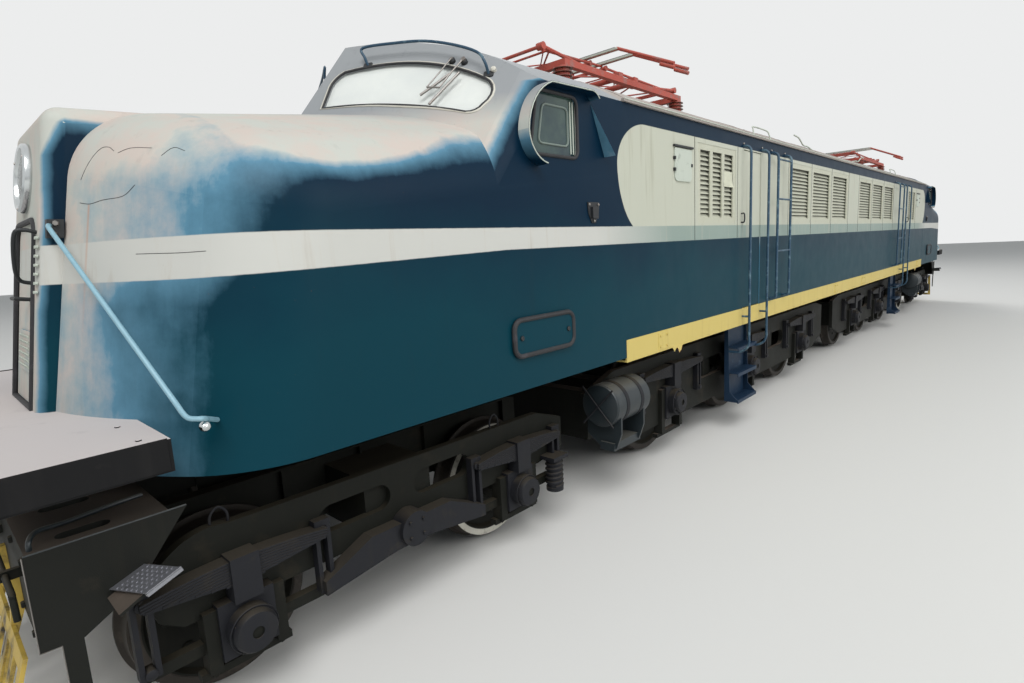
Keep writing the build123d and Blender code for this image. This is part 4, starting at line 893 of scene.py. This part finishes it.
# %% Nose rails
rail_start = on_shell([(10.715, 0.452, 2.505)])[0]
rail_end = on_shell([(10.45, 1.42, 1.60)], -0.01)[0]
rail_line = bent([rail_start, (10.745, 0.49, 2.51), (10.73, 0.58, 2.435)], 5)
rail_line += bent([(10.582, 1.46, 1.735), (10.556, 1.49, 1.668), (10.520, 1.494, 1.650), (10.487, 1.488, 1.642),
                   rail_end], 5)
nose_bracket = side_plate([(10.685, 2.455), (10.755, 2.455), (10.745, 2.545), (10.675, 2.545)], 0.475, 0.045)
nose_bolts = bolts([(10.71, 0.475, 2.525), (10.725, 0.475, 2.475)], (0.3, 1, 0), 0.015, 0.022)
knob_profile = [(0.004, -0.02), (0.02, -0.012), (0.024, 0), (0.018, 0.014), (0.004, 0.022)]
knob = turned(knob_profile, (10.487, 1.480, 1.606), (0.6, 0.8, 0), 14)
add_piece("nose_rails", [
    (rail_enamel, tube(rail_line, 0.0115, 12)), (bracket_steel, nose_bracket), (tyre_steel, nose_bolts),
    (lamp_chrome, knob),
], "root", 0.5, CORNERS, replaces=["nose_handrails"])

# %% [markdown]
# ## Headlights
# The lamp is a steel bowl let into the nose, a chromium ring with a rolled lip, a reflector and a pressed
# lens. All are round about one axis, so a lathe profile gives each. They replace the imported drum.

# %% Headlights
nose_rake = 0.155
lamp_centre = Vector((10.72525, 0, 2.79))
lamp_axis = Vector((1, 0, nose_rake)).normalized()
ring_profile = [(0.148, 0.000), (0.149, 0.018), (0.158, 0.034), (0.170, 0.038), (0.181, 0.030), (0.185, 0.014),
                (0.184, 0.000)]
bowl_profile = [(0.161, -0.119), (0.161, 0.0), (0.150, 0.0), (0.138, -0.03), (0.105, -0.07), (0.055, -0.095),
                (0.02, -0.102)]
lens_profile = [(0.149, 0.004), (0.149, 0.012), (0.120, 0.022), (0.075, 0.030), (0.025, 0.034), (0.004, 0.0345),
                (0.004, 0.028), (0.075, 0.024), (0.120, 0.016)]
bulb_profile = [(0.012, -0.104), (0.012, -0.07), (0.022, -0.05), (0.018, -0.03), (0.004, -0.022)]
lamp_up = lamp_axis.cross(Vector(ASIDE))
screws = [lamp_centre + lamp_axis * 0.034 + (Vector(ASIDE) * math.cos(a) + lamp_up * math.sin(a)) * 0.166
          for a in (0.6, 2.54, 4.71)]
add_piece("headlight_lamps", [
    (lamp_chrome, turned(ring_profile, lamp_centre, lamp_axis, 48, ring=True)),
    (dark_mirror, turned(bowl_profile, lamp_centre, lamp_axis, 48)),
    (lens_glass, turned(lens_profile, lamp_centre, lamp_axis, 48, ring=True)),
    (rim_enamel, turned(bulb_profile, lamp_centre, lamp_axis, 16)),
    (tyre_steel, bolts(screws, lamp_axis, 0.007, 0.006)),
], "root", 0, HALF_TURN, replaces=["headlights"])

# %% [markdown]
# ## Nose door
# The door shuts against a black rubber strip round its opening. A bent grip stands in front of it, hinges and a
# lock bolt sit at its left edge, and a small louvred vent is let into it. The strip and grip stay with the
# body; the handle and the vent swing with the door.

# %% Nose door: strip, hinges and grip
slope_up = Vector((-nose_rake, 0, 1)).normalized()
door_foot = Vector((10.95 - nose_rake * 0.26, 0, 1.60))


def on_nose_face(y, v, out=0.0):
    """A point on the raked face of the nose, from metres aside, up the slope from the door's foot, and out."""
    return door_foot + Vector((0, y, 0)) + slope_up * v + lamp_axis * out


door_height = 0.96 * math.sqrt(1 + nose_rake**2)
door_outline = [(0.30, 0.0)]
door_outline += [(0.2 + 0.1 * math.cos(a * math.pi / 12), door_height - 0.1 + 0.1 * math.sin(a * math.pi / 12))
                 for a in range(7)]
door_outline += [(-y, v) for y, v in reversed(door_outline)]
door_strip = tube([on_nose_face(y, v, 0.002) for y, v in door_outline], 0.014, 8, loop=True)
hinge_outline = rounded(0.05, 0.014, 0.006)
hinge_plates = [plate(hinge_outline, on_nose_face(0.375, 0.60 + 0.045 * i), ASIDE, slope_up, 0.012)
                for i in range(7)]
grip_route = [on_nose_face(0.34, 0.90), on_nose_face(0.34, 0.905, 0.05), on_nose_face(0.33, 0.88, 0.085),
              on_nose_face(0.26, 0.74, 0.075), on_nose_face(0.215, 0.66, 0.05),
              on_nose_face(0.21, 0.645, -0.005)]
add_piece("nose_door_strips", [
    (gasket_rubber, door_strip), (edge_enamel, *hinge_plates),
    (bracket_steel, tube(bent(grip_route, 5), 0.010)),
], "root", 0, HALF_TURN)

# %% Nose door: handle and vent
bar_route = [on_nose_face(y, 0.56, out) for y, out in ((0.10, -0.012), (0.10, 0.05), (0.02, 0.055))]
door_bar = tube(bar_route, 0.011)
vent_frame = plate(rounded(0.34, 0.22, 0.02), on_nose_face(0, 0.28, -0.0095), ASIDE, slope_up, 0.008)
slat_outline = [(-0.15, -0.006), (0.15, -0.006), (0.15, 0.008), (-0.15, 0.008)]
slat_up = slope_up + lamp_axis * 0.5
vent_slats = [plate(slat_outline, on_nose_face(0, 0.20 + 0.032 * row, -0.002), ASIDE, slat_up, 0.006)
              for row in range(6)]
for end, sign in ends:
    door_parts = [(bracket_steel, door_bar), (livery, vent_frame), (edge_enamel, *vent_slats)]
    add_piece(f"nose_door_fittings_{end}", door_parts, f"nose_door_{end}", 1, [(sign, sign)])

# %% [markdown]
# ## Roof
# The roof is sheet over hoops: narrow cover strips hide the joints, and lift-out hatches over the machine room
# have raised rims. They follow the roof's arc, so each is an arc band pushed along the body. Pale drip edges
# run along the gutters.

# %% Roof
roof_radius = 2.61810
roof_centre_z = 3.870 - roof_radius


def roof_band(half_width, low, high, x_from, x_to):
    """A band over the roof's arc, from one height above it to another."""
    angles = [math.asin(half_width / roof_radius) * (i / 8 - 1) for i in range(17)]
    outer, inner = [[(radius * math.sin(a), roof_centre_z + radius * math.cos(a)) for a in angles]
                    for radius in (roof_radius + high, roof_radius + low)]
    return plate(outer + inner[::-1], (x_from, 0, 0), ASIDE, UP, x_to - x_from)


strips = [roof_band(1.50, -0.003, 0.005, x, x + 0.05) for x in (-7.0, -4.2, -2.9, -1.5, 1.45, 2.85, 4.15, 6.95)]
hatches, grips = [], []
for x in (-2.83, -1.40, 0.05, 1.55):
    hatches.append(roof_band(0.62, -0.003, 0.030, x, x + 1.22))
    hatches.append(roof_band(0.66, -0.003, 0.014, x - 0.04, x + 1.26))
for x in (-2.22, -0.79, 0.66, 2.16):
    for y in (-0.5, 0.5):
        z = roof_centre_z + math.sqrt(roof_radius**2 - y**2) + 0.028
        grip = [(x - 0.08, y, z), (x - 0.07, y, z + 0.04), (x + 0.07, y, z + 0.04), (x + 0.08, y, z)]
        grips.append(tube(bent(grip, 4), 0.008))
gutter_edges = copies(tube([(-7.21, 1.547, 3.402), (7.21, 1.547, 3.402)], 0.005, 6), SIDES)
roof_parts = [(roof_enamel, *strips, *hatches), (bracket_steel, *grips), (edge_enamel, gutter_edges)]
add_piece("roof_strips_and_hatches", roof_parts, "root", 2)

# %% [markdown]
# ## Pantographs
# A pantograph is a light frame of tube on four insulators. Braces keep its arms square, two long springs raise
# it, and carbon strips in sheet carriers touch the wire. Each brace rides with the arm it belongs to, so the
# frame stays whole as it rises.

# %% Pantographs: insulators and springs
shed_profile = [(0.05, 0)]
for shed in range(4):
    low = 0.012 + shed * 0.036
    shed_profile += [(0.062, low), (0.098, low + 0.006), (0.094, low + 0.012), (0.06, low + 0.022)]
shed_profile.append((0.05, 0.158))
insulators = [turned(shed_profile, (x, y, 3.79), UP, 24) for x in (4.55, 6.75) for y in (-0.6, 0.6)]
raising_springs = [coil((5.62 + s * 0.95, y, 3.99), (5.62 + s * 0.25, y, 3.99), 0.028, 0.006, 26)
                   for s in (1, -1) for y in (-0.12, 0.12)]
spring_rods = [tube([(4.56, y, 3.99), (6.74, y, 3.99)], 0.008) for y in (-0.12, 0.12)]
add_piece("pantograph_insulators_and_springs", [
    (porcelain, *insulators), (box_steel, *raising_springs), (pantograph_enamel, *spring_rods),
], "root", 0, HALF_TURN)

# %% Pantographs: places on the arms
arm_length, parked_angle, pivot_z = 1.12, math.radians(6), 4.0
arm_rise = arm_length * math.sin(parked_angle)
arm_reach = arm_length * math.cos(parked_angle)


def on_lower(side, t, y):
    """A point on a lower arm, t from its pivot to its elbow; y is a share of its half width."""
    return (5.65 + side * (0.15 + arm_reach * t), y * 0.50, pivot_z + arm_rise * t)


def on_upper(side, t, y):
    """A point on an upper arm, t from its elbow to its head; y is a share of its half width."""
    return (5.65 + side * (0.15 + arm_reach * (1 - t)), y * (0.43 - 0.18 * t), pivot_z + arm_rise * (1 + t))


print("a parked arm reaches", round(arm_reach, 3), "m and rises", round(arm_rise, 3), "m")

# %% Pantographs: braces and collector strips
arm_rows = [("lower", on_lower, 0.9, 0.009, 0.011), ("upper", on_upper, 0.8, 0.007, 0.008)]
carriers, carbons, tips = [], [], []
for x in (5.5, 5.8):
    carriers.append(block((x - 0.032, -0.61, 4.281), (x + 0.032, 0.61, 4.299)))
    carbons.append(block((x - 0.022, -0.58, 4.299), (x + 0.022, 0.58, 4.309)))
    tips += [tube([(x, y * 1.09, 4.024), (x, y * 1.242, 3.953)], 0.0185) for y in (1, -1)]
head_parts = [(edge_enamel, *carriers), (strip_carbon, *carbons), (pantograph_enamel, *tips)]
for end, sign in ends:
    for side, label in ((1, "outer"), (-1, "inner")):
        for arm, on_arm, top, brace_radius, bar_radius in arm_rows:
            braces = [tube([on_arm(side, 0.12, -y), on_arm(side, top, y)], brace_radius) for y in (1, -1)]
            braces.append(tube([on_arm(side, top, -1), on_arm(side, top, 1)], bar_radius))
            add_piece(f"pantograph_braces_{arm}_{label}_{end}", [(pantograph_enamel, *braces)],
                      f"pantograph_{arm}_{label}_{end}", 0, [(sign, sign)])
    add_piece(f"collector_strips_{end}", head_parts, f"pantograph_head_{end}", 1,
              [(sign, sign)])

# %% [markdown]
# ## Wheels
# Each wheel is a cast centre with a shrunk-on tyre: a coned tread, a flange, a dished web and a proud hub. The
# packed wheels are plain discs, so a lathe profile of the whole wheelset replaces each one. The rim's face is
# picked out in white by hand, a ring of its own here.


# %% Wheels
def wheelset(axle_x, axle_z, tread, rim_finish):
    """A wheelset's turned body, its tyres, its painted rims and its web bolts."""
    hub, centre = tread * 0.3, (axle_x, 0, axle_z)
    half = [(0.095, 0.765), (hub, 0.765), (hub + 0.03, 0.79), (tread - 0.085, 0.79), (tread - 0.072, 0.766),
            (tread - 0.06, 0.765), (tread - 0.06, 0.905), (tread - 0.072, 0.903), (tread - 0.09, 0.868),
            (hub + 0.03, 0.858), (hub + 0.004, 0.88), (hub, 0.944), (0.081, 0.945), (0.08, 1.327), (0.06, 1.33)]
    whole = [(radius, -y) for radius, y in reversed(half)] + half
    tyre = [(tread - 0.062, 0.765), (tread + 0.022, 0.765), (tread + 0.028, 0.772), (tread + 0.026, 0.784),
            (tread + 0.006, 0.797), (tread, 0.806), (tread - 0.003, 0.898), (tread - 0.010, 0.905),
            (tread - 0.062, 0.905)]
    rim = [(tread - 0.058, 0.903), (tread - 0.058, 0.907), (tread - 0.013, 0.907), (tread - 0.013, 0.903)]
    bolt_circle = (hub + tread - 0.09) / 2 + 0.02
    web_bolts = []
    for i in range(8):
        across, up = bolt_circle * math.cos(math.pi / 4 * i), bolt_circle * math.sin(math.pi / 4 * i)
        head = (axle_x + across, 0.859, axle_z + up)
        web_bolts.append(turned([(0.030, 0), (0.030, 0.012), (0.02, 0.018)], head, ASIDE, 12))
    return [
        (cast_steel, turned(whole, centre, ASIDE, 56), copies(together(web_bolts), SIDES)),
        (greasy_tyre, copies(turned(tyre, centre, ASIDE, 72, ring=True), SIDES)),
        (rim_finish, copies(turned(rim, centre, ASIDE, 72, ring=True), SIDES)),
    ]


driving_axles, guiding_axles, flange_height = (1.65, 3.75, 5.85), (8.28, 10.33), 0.028
for kind, tread, axles in (("driving", 0.584, driving_axles), ("guiding", 0.457, guiding_axles)):
    for number, axle_x in enumerate(axles, 1):
        # the white has lasted only on the truck's inner wheels
        rim_finish = rim_enamel if axle_x == guiding_axles[0] else greasy_tyre
        for end, sign in ends:
            node = f"{kind}_wheelset_{end}_{number}"
            wheel_parts = wheelset(sign * axle_x, tread + flange_height, tread, rim_finish)
            add_piece(f"turned_{node}", wheel_parts, node, replaces=[node])

# %% [markdown]
# ## Springs and axleboxes
# A laminated spring is a stack of steel leaves, the longest on top, held by a buckle over the axlebox. The
# packed spring is one block, so thin leaves are laid over its face. Each axlebox has a round cover with six
# bolts, and its hangers carry pins.

# %% Spring leaves
seat_y = 1.1753
spring_depth = 0.13


def spring_leaves(axle_x, top_z, half_span, count=9):
    """The leaves of one spring, the longest on top, standing 3 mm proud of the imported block."""
    sag = spring_depth / 4
    radius = (half_span**2 + sag**2) / (2 * sag)
    pitch = spring_depth / count
    leaves = []
    for leaf in range(count):
        lower = (leaf + 1) * pitch
        taper = (half_span + 0.03) * (1 - (lower - 0.05) / (spring_depth - 0.03))
        reach = half_span + 0.012 if lower < 0.05 else taper
        xs = [reach * (i / 6 - 1) for i in range(13)]
        top = [(x, top_z + 0.002 - radius + math.sqrt(radius**2 - x**2) - leaf * pitch) for x in xs]
        foot = [(x + axle_x, z - pitch + 0.003) for x, z in top]
        back = [(x + axle_x, z) for x, z in reversed(top)]
        leaves.append(side_plate(foot + back, seat_y + 0.0935, 0.09))
    return leaves


print("leaves in a driving spring", len(spring_leaves(driving_axles[0], 1.020, 0.62)))


# %% Axlebox covers and hangers
def axlebox_fittings(axle_x, axle_z, size, cover_y=1.295):
    """The bolts, ring and end cap on one axlebox cover."""
    heads = [(axle_x + size * 0.7 * math.cos(a), cover_y, axle_z + size * 0.7 * math.sin(a))
             for a in [math.pi / 3 * (i + 0.5) for i in range(6)]]
    rim = [(size * 0.85, -0.012), (size * 0.88, -0.008), (size * 0.88, 0.004), (size * 0.85, 0.008)]
    cap = [(0.086, -0.004), (0.108, -0.004), (0.108, 0.026), (0.098, 0.042), (0.05, 0.046), (0.03, 0.046),
           (0.03, 0.038), (0.086, 0.038)]
    return [bolts(heads, ASIDE, 0.015, 0.012), turned(rim, (axle_x, cover_y, axle_z), ASIDE, 40, ring=True),
            turned(cap, (axle_x, cover_y, axle_z), ASIDE, 32, ring=True)]


def hanger_pins(axle_x, top_z, half_span):
    """The pins through the spring's ends and the feet of its hangers."""
    end_z = top_z - spring_depth / 4
    places = [(x, seat_y + 0.054, z) for x in (axle_x - half_span, axle_x + half_span)
              for z in (end_z - 0.02, end_z - 0.352)]
    return [turned([(0.026, -0.03), (0.026, 0.014), (0.018, 0.02)], place, ASIDE, 16) for place in places]


spring_rows = [
    ("frame", driving_axles, 1.020, 0.62, 0.612, 0.16),
    ("truck", guiding_axles, 0.860, 0.44, 0.485, 0.138),
]
for end, sign in ends:
    for body, axles, top_z, half_span, axle_z, size in spring_rows:
        fittings = []
        for axle_x in axles:
            fittings += spring_leaves(axle_x, top_z, half_span) + axlebox_fittings(axle_x, axle_z, size)
            fittings += hanger_pins(axle_x, top_z, half_span)
        add_piece(f"springs_and_boxes_{body}_{end}", [(box_steel, *fittings)], f"{body}_{end}",
                  1, [(sign, 1), (sign, -1)])

# %% [markdown]
# ## Truck details
# The guiding truck's frame has lifting loops of bent rod on its top edge, a coil spring at its rear corner and
# the bolts of its spring fulcrum. Nuts hold the flat bars that tie its pedestals. A near-black plate with ribs
# stands behind each pair of wheels as painted shade, darkening the gap under the body.

# %% Truck details
loops = []
for x, z in ((10.38, 1.012), (8.45, 1.002)):
    loop = [(x + dx, 1.148, z + dz) for dx, dz in
            ((-0.04, -0.02), (-0.04, 0.055), (0, 0.095), (0.04, 0.055), (0.04, -0.02))]
    loops.append(tube(bent(loop, 5), 0.007, 8))
truck_spring = coil((7.89, 1.2453, 0.385), (7.89, 1.2453, 0.612), 0.062, 0.013, 6, 8)
tie_nuts = bolts([(x + dx, seat_y, 0.28) for x in guiding_axles for dx in (-0.17, 0.17)], ASIDE, 0.018, 0.016)
fulcrum_heads = [(9.305 + 0.07 * math.cos(a), seat_y + 0.12, 0.6 + 0.07 * math.sin(a))
                 for a in (0.8, 2.4, 3.9, 5.5)]
fulcrum = bolts(fulcrum_heads, ASIDE, 0.013, 0.012)
# painted shade: a near-black plate with ribs behind the wheels darkens the gap under the body
inner_shade_outline = [(7.72, 0.62), (8.06, 0.62), (8.14, 0.70), (8.42, 0.70), (8.50, 0.62), (10.11, 0.62),
                 (10.19, 0.70), (10.47, 0.70), (10.55, 0.62), (10.80, 0.62), (10.80, 1.00), (10.62, 1.03),
                 (7.90, 1.03), (7.72, 1.00)]
inner_shade_plate = [side_plate(inner_shade_outline, 0.672, 0.012), block((7.90, 0.62, 1.018), (10.62, 0.71, 1.030))]
inner_shade_plate += [block((x - 0.006, 0.672, 0.64), (x + 0.006, 0.71, 1.02)) for x in (7.9, 8.75, 9.3, 9.85, 10.7)]
for end, sign in ends:
    truck_parts = [(cast_steel, *inner_shade_plate, tie_nuts), (box_steel, *loops, truck_spring, fulcrum)]
    add_piece(f"truck_fittings_{end}", truck_parts, f"truck_{end}", 0, [(sign, 1), (sign, -1)])

# %% [markdown]
# ## Frame ends, treads and reservoirs
# At each corner a bright tread is bolted to the raked end plate. A brake pipe lies on the shelf behind, and a
# long lever across the end lifts the coupler's lock. A dark sheet on the flank of the centre beam is painted
# shade that darkens the gap beside it. The reservoirs have domed ends, two straps and a pair of crossed tie
# rods.

# %% Treads
tread_root = Vector((10.878, 1.360, 0.996))
tread_along = Vector((-0.133, 0, 0.052))
tread_out = Vector((-0.073, 0.200, 0.025))
tread_normal = tread_along.cross(tread_out).normalized() * -1
tread_sheet = plate([(0, -0.1), (1, -0.1), (1, 1), (0, 1)], tread_root, tread_along, tread_out, 0.003)
lip_root = tread_root + tread_normal * 0.004
tread_lip = plate([(0, 0.94), (1, 0.94), (1, 1), (0, 1)], lip_root, tread_along, tread_out, 0.022)
studs = [turned([(0.006, -0.001), (0.005, 0.003)],
                tread_root + tread_along * (i / 7 + 0.07) + tread_out * (j / 7 + 0.07), tread_normal, 6)
         for i in range(7) for j in range(6)]
print("tread studs", len(studs))

# %% Frame ends
plate_edge = tube([(11.130, 1.340, 1.238), (11.130, 1.340, 0.842), (11.061, 1.340, 0.838),
                   (11.061, 1.340, 0.462)], 0.0025, 6)
shelf_edge = tube([(11.126, 1.337, 1.241), (10.563, 1.337, 1.241)], 0.004, 6)
pipe_route = [(11.10, 1.29, 1.235), (11.095, 1.285, 1.275), (11.06, 1.22, 1.283), (10.96, 1.155, 1.262),
              (10.80, 1.083, 1.250), (10.66, 1.05, 1.246)]
brake_pipe = tube(bent(pipe_route, 5), 0.010)
lever_route = [(11.17, 1.30, 0.99), (11.172, 1.30, 1.09), (11.172, 1.26, 1.10), (11.172, 0.6, 1.10),
               (11.172, 0, 1.10)]
lever = tube(bent(lever_route, 4), 0.012)
lever_eyes = [block((11.115, y - 0.012, 1.08), (11.19, y + 0.012, 1.12)) for y in (1.1, 0.5)]
beam_bolts = bolts([(11.120, y, z) for y in (0.25, 0.6, 0.95, 1.25) for z in (0.89, 1.19)], ALONG, 0.016, 0.014)
# painted shade: a dark sheet that darkens the gap beside the centre beam
shade_sheet = block((9.86, 0.400, 0.79), (10.24, 0.412, 1.06))
print("beam bolts", len(beam_bolts[1]), "faces")

# %% Reservoirs
tank_y, tank_z = 1.3603, 0.94
straps = [turned([(0.183, x), (0.1885, x), (0.1885, x + 0.045), (0.183, x + 0.045)], (0, tank_y, tank_z),
                 ALONG, 40, ring=True) for x in (6.985, 7.215)]
dome_profile = [(0.184, 0), (0.176, 0.012), (0.13, 0.026), (0.06, 0.034), (0.01, 0.036)]
domes = [turned(dome_profile, (x, tank_y, tank_z), (way, 0, 0), 32) for x, way in ((7.38, 1), (6.88, -1))]
tie_rods = [tube([(7.425, tank_y - 0.15, tank_z - 0.16 * k), (7.425, tank_y + 0.15, tank_z + 0.16 * k)], 0.008)
            for k in (1, -1)]
frame_parts = [
    (tread_alloy, tread_sheet, tread_lip, *studs), (tyre_steel, plate_edge),
    (tank_enamel, shelf_edge, brake_pipe, *domes), (cast_steel, lever, *lever_eyes, beam_bolts),
    (box_steel, *straps, *tie_rods), (frame_steel, shade_sheet),
]
for end, sign in ends:
    add_piece(f"frame_fittings_{end}", frame_parts, f"frame_{end}", 0, [(sign, 1), (sign, -1)])

# %% [markdown]
# ## Sill fittings
# The yellow sill carries flat pads with four bolts each, and at one place its paint hangs below the edge in a
# torn tongue with rust along it. Both are thin plates with a bar for the rust, so that their edges are real.

# %% Sill fittings
tongue_outline = [(6.17, 1.312), (6.24, 1.296), (6.262, 1.256), (6.28, 1.250), (6.30, 1.235),
                  (6.336, 1.288), (6.36, 1.286), (6.395, 1.258), (6.43, 1.298), (6.50, 1.312)]
paint_tongue = side_plate(tongue_outline, 1.5325, 0.004)
rust_line = [(6.24, 1.531, 1.296), (6.262, 1.531, 1.256), (6.30, 1.531, 1.235), (6.336, 1.531, 1.288)]
rust_edge = tube(rust_line, 0.003, 6)
pad_places, pad_y = (0.9, 6.6), 1.533
sill_pads = [block((x - 0.09, 1.527, 1.315), (x + 0.09, pad_y, 1.475)) for x in pad_places]
sill_heads = [(x + dx, pad_y, z) for x in pad_places for dx in (-0.06, 0.06) for z in (1.345, 1.445)]
sill_bolts = bolts(sill_heads, ASIDE)
sill_parts = [(rust_scale, rust_edge), (sill_enamel, *sill_pads, paint_tongue, sill_bolts)]
add_piece("sill_fittings", sill_parts, "root", 1, CORNERS)

# %% [markdown]
# ## Platforms
# A deck of folded plate surrounds each nose. Boots and rain have left pale dust on it, and its edge is still
# black. It is built here with its true depth and with the toe strip and bolts that a packed slab leaves out.

# %% Platforms
deck_outline = [(10.625, -1.5), (11.245, -1.5), (11.26, -1.485), (11.26, 1.485), (11.245, 1.5), (10.625, 1.5)]
deck_foot, deck_top = 1.457, 1.595
deck = plate(deck_outline, (0, 0, deck_foot), ALONG, ASIDE, deck_top - deck_foot)
toe_strips = [block((10.64, s * 1.502 - 0.004, 1.466), (11.24, s * 1.502 + 0.004, 1.602)) for s in (1, -1)]
toe_strips.append(block((11.255, -1.48, 1.466), (11.265, 1.48, 1.602)))
bolt_places = [(x, y, deck_top) for x in (10.72, 11.2) for y in (-1.42, -1.1, 1.1, 1.42)]
deck_bolts = bolts(bolt_places + [(11.2, 0.5, deck_top), (11.2, -0.5, deck_top)], UP, 0.012, 0.006)
deck_parts = [(deck_enamel, deck, *toe_strips, deck_bolts)]
add_piece("nose_decks", deck_parts, "root", 2, HALF_TURN, replaces=["platforms"])

# %% [markdown]
# ## Floor, lamps and light
# A plain pale floor and large soft lamps show the forms without hiding the colours. A sun lamp would give
# hard shadows that belong to one place; area lamps give the light of a bright hall. The world shows its pale
# background to the camera, mirrors and glass, and lights the rest more weakly.

# %% Floor and background
stage_mesh = bpy.data.meshes.new("floor")
floor_reach = 90
floor_corners = [(x * floor_reach, y * floor_reach, 0) for x, y in ((-1, -1), (1, -1), (1, 1), (-1, 1))]
stage_mesh.from_pydata(floor_corners, [], [(0, 1, 2, 3)])
stage_floor = bpy.data.objects.new("floor", stage_mesh)
stage_floor.location.z = -0.002
bpy.context.scene.collection.objects.link(stage_floor)
floor_paint, tree, shader, coordinates = new_finish("pale_floor_paint", Roughness=0.9)
shader.inputs["Base Color"].default_value = linear("#e3e2de")
stage_mesh.materials.append(floor_paint)

world = bpy.data.worlds.new("studio")
world.use_nodes = True
bpy.context.scene.world = world
tree = world.node_tree
background = tree.nodes["Background"]
paths = add_node(tree, "LightPath").outputs
seen = add_node(tree, "Math", paths["Is Camera Ray"], paths["Is Glossy Ray"], operation="MAXIMUM")
seen = add_node(tree, "Math", seen, paths["Is Transmission Ray"], operation="MAXIMUM")
add_node(tree, "Mix", seen, linear("#dfe6ec"), linear("#eceded"), data_type="RGBA",
         to=background.inputs["Color"])
add_node(tree, "Math", seen, 0.62, 0.38, operation="MULTIPLY_ADD", to=background.inputs["Strength"])
print("world nodes", len(tree.nodes))


# %% Lamps
def soft_lamp(name, place, target, size, power):
    """A square area lamp, aimed at a point."""
    lamp = bpy.data.lights.new(name, "AREA")
    lamp.size = size
    lamp.energy = power
    holder = bpy.data.objects.new(name, lamp)
    holder.location = place
    holder.rotation_euler = (Vector(target) - Vector(place)).to_track_quat("-Z", "Y").to_euler()
    bpy.context.scene.collection.objects.link(holder)


soft_lamp("key", (20, 14, 22), (4, 0, 2), 16, 5600)
soft_lamp("fill", (-2, 27, 14), (0, 0, 2), 18, 3200)
soft_lamp("back", (-20, -20, 22), (0, 0, 2), 16, 4200)
print("lamps", len(bpy.data.lights))
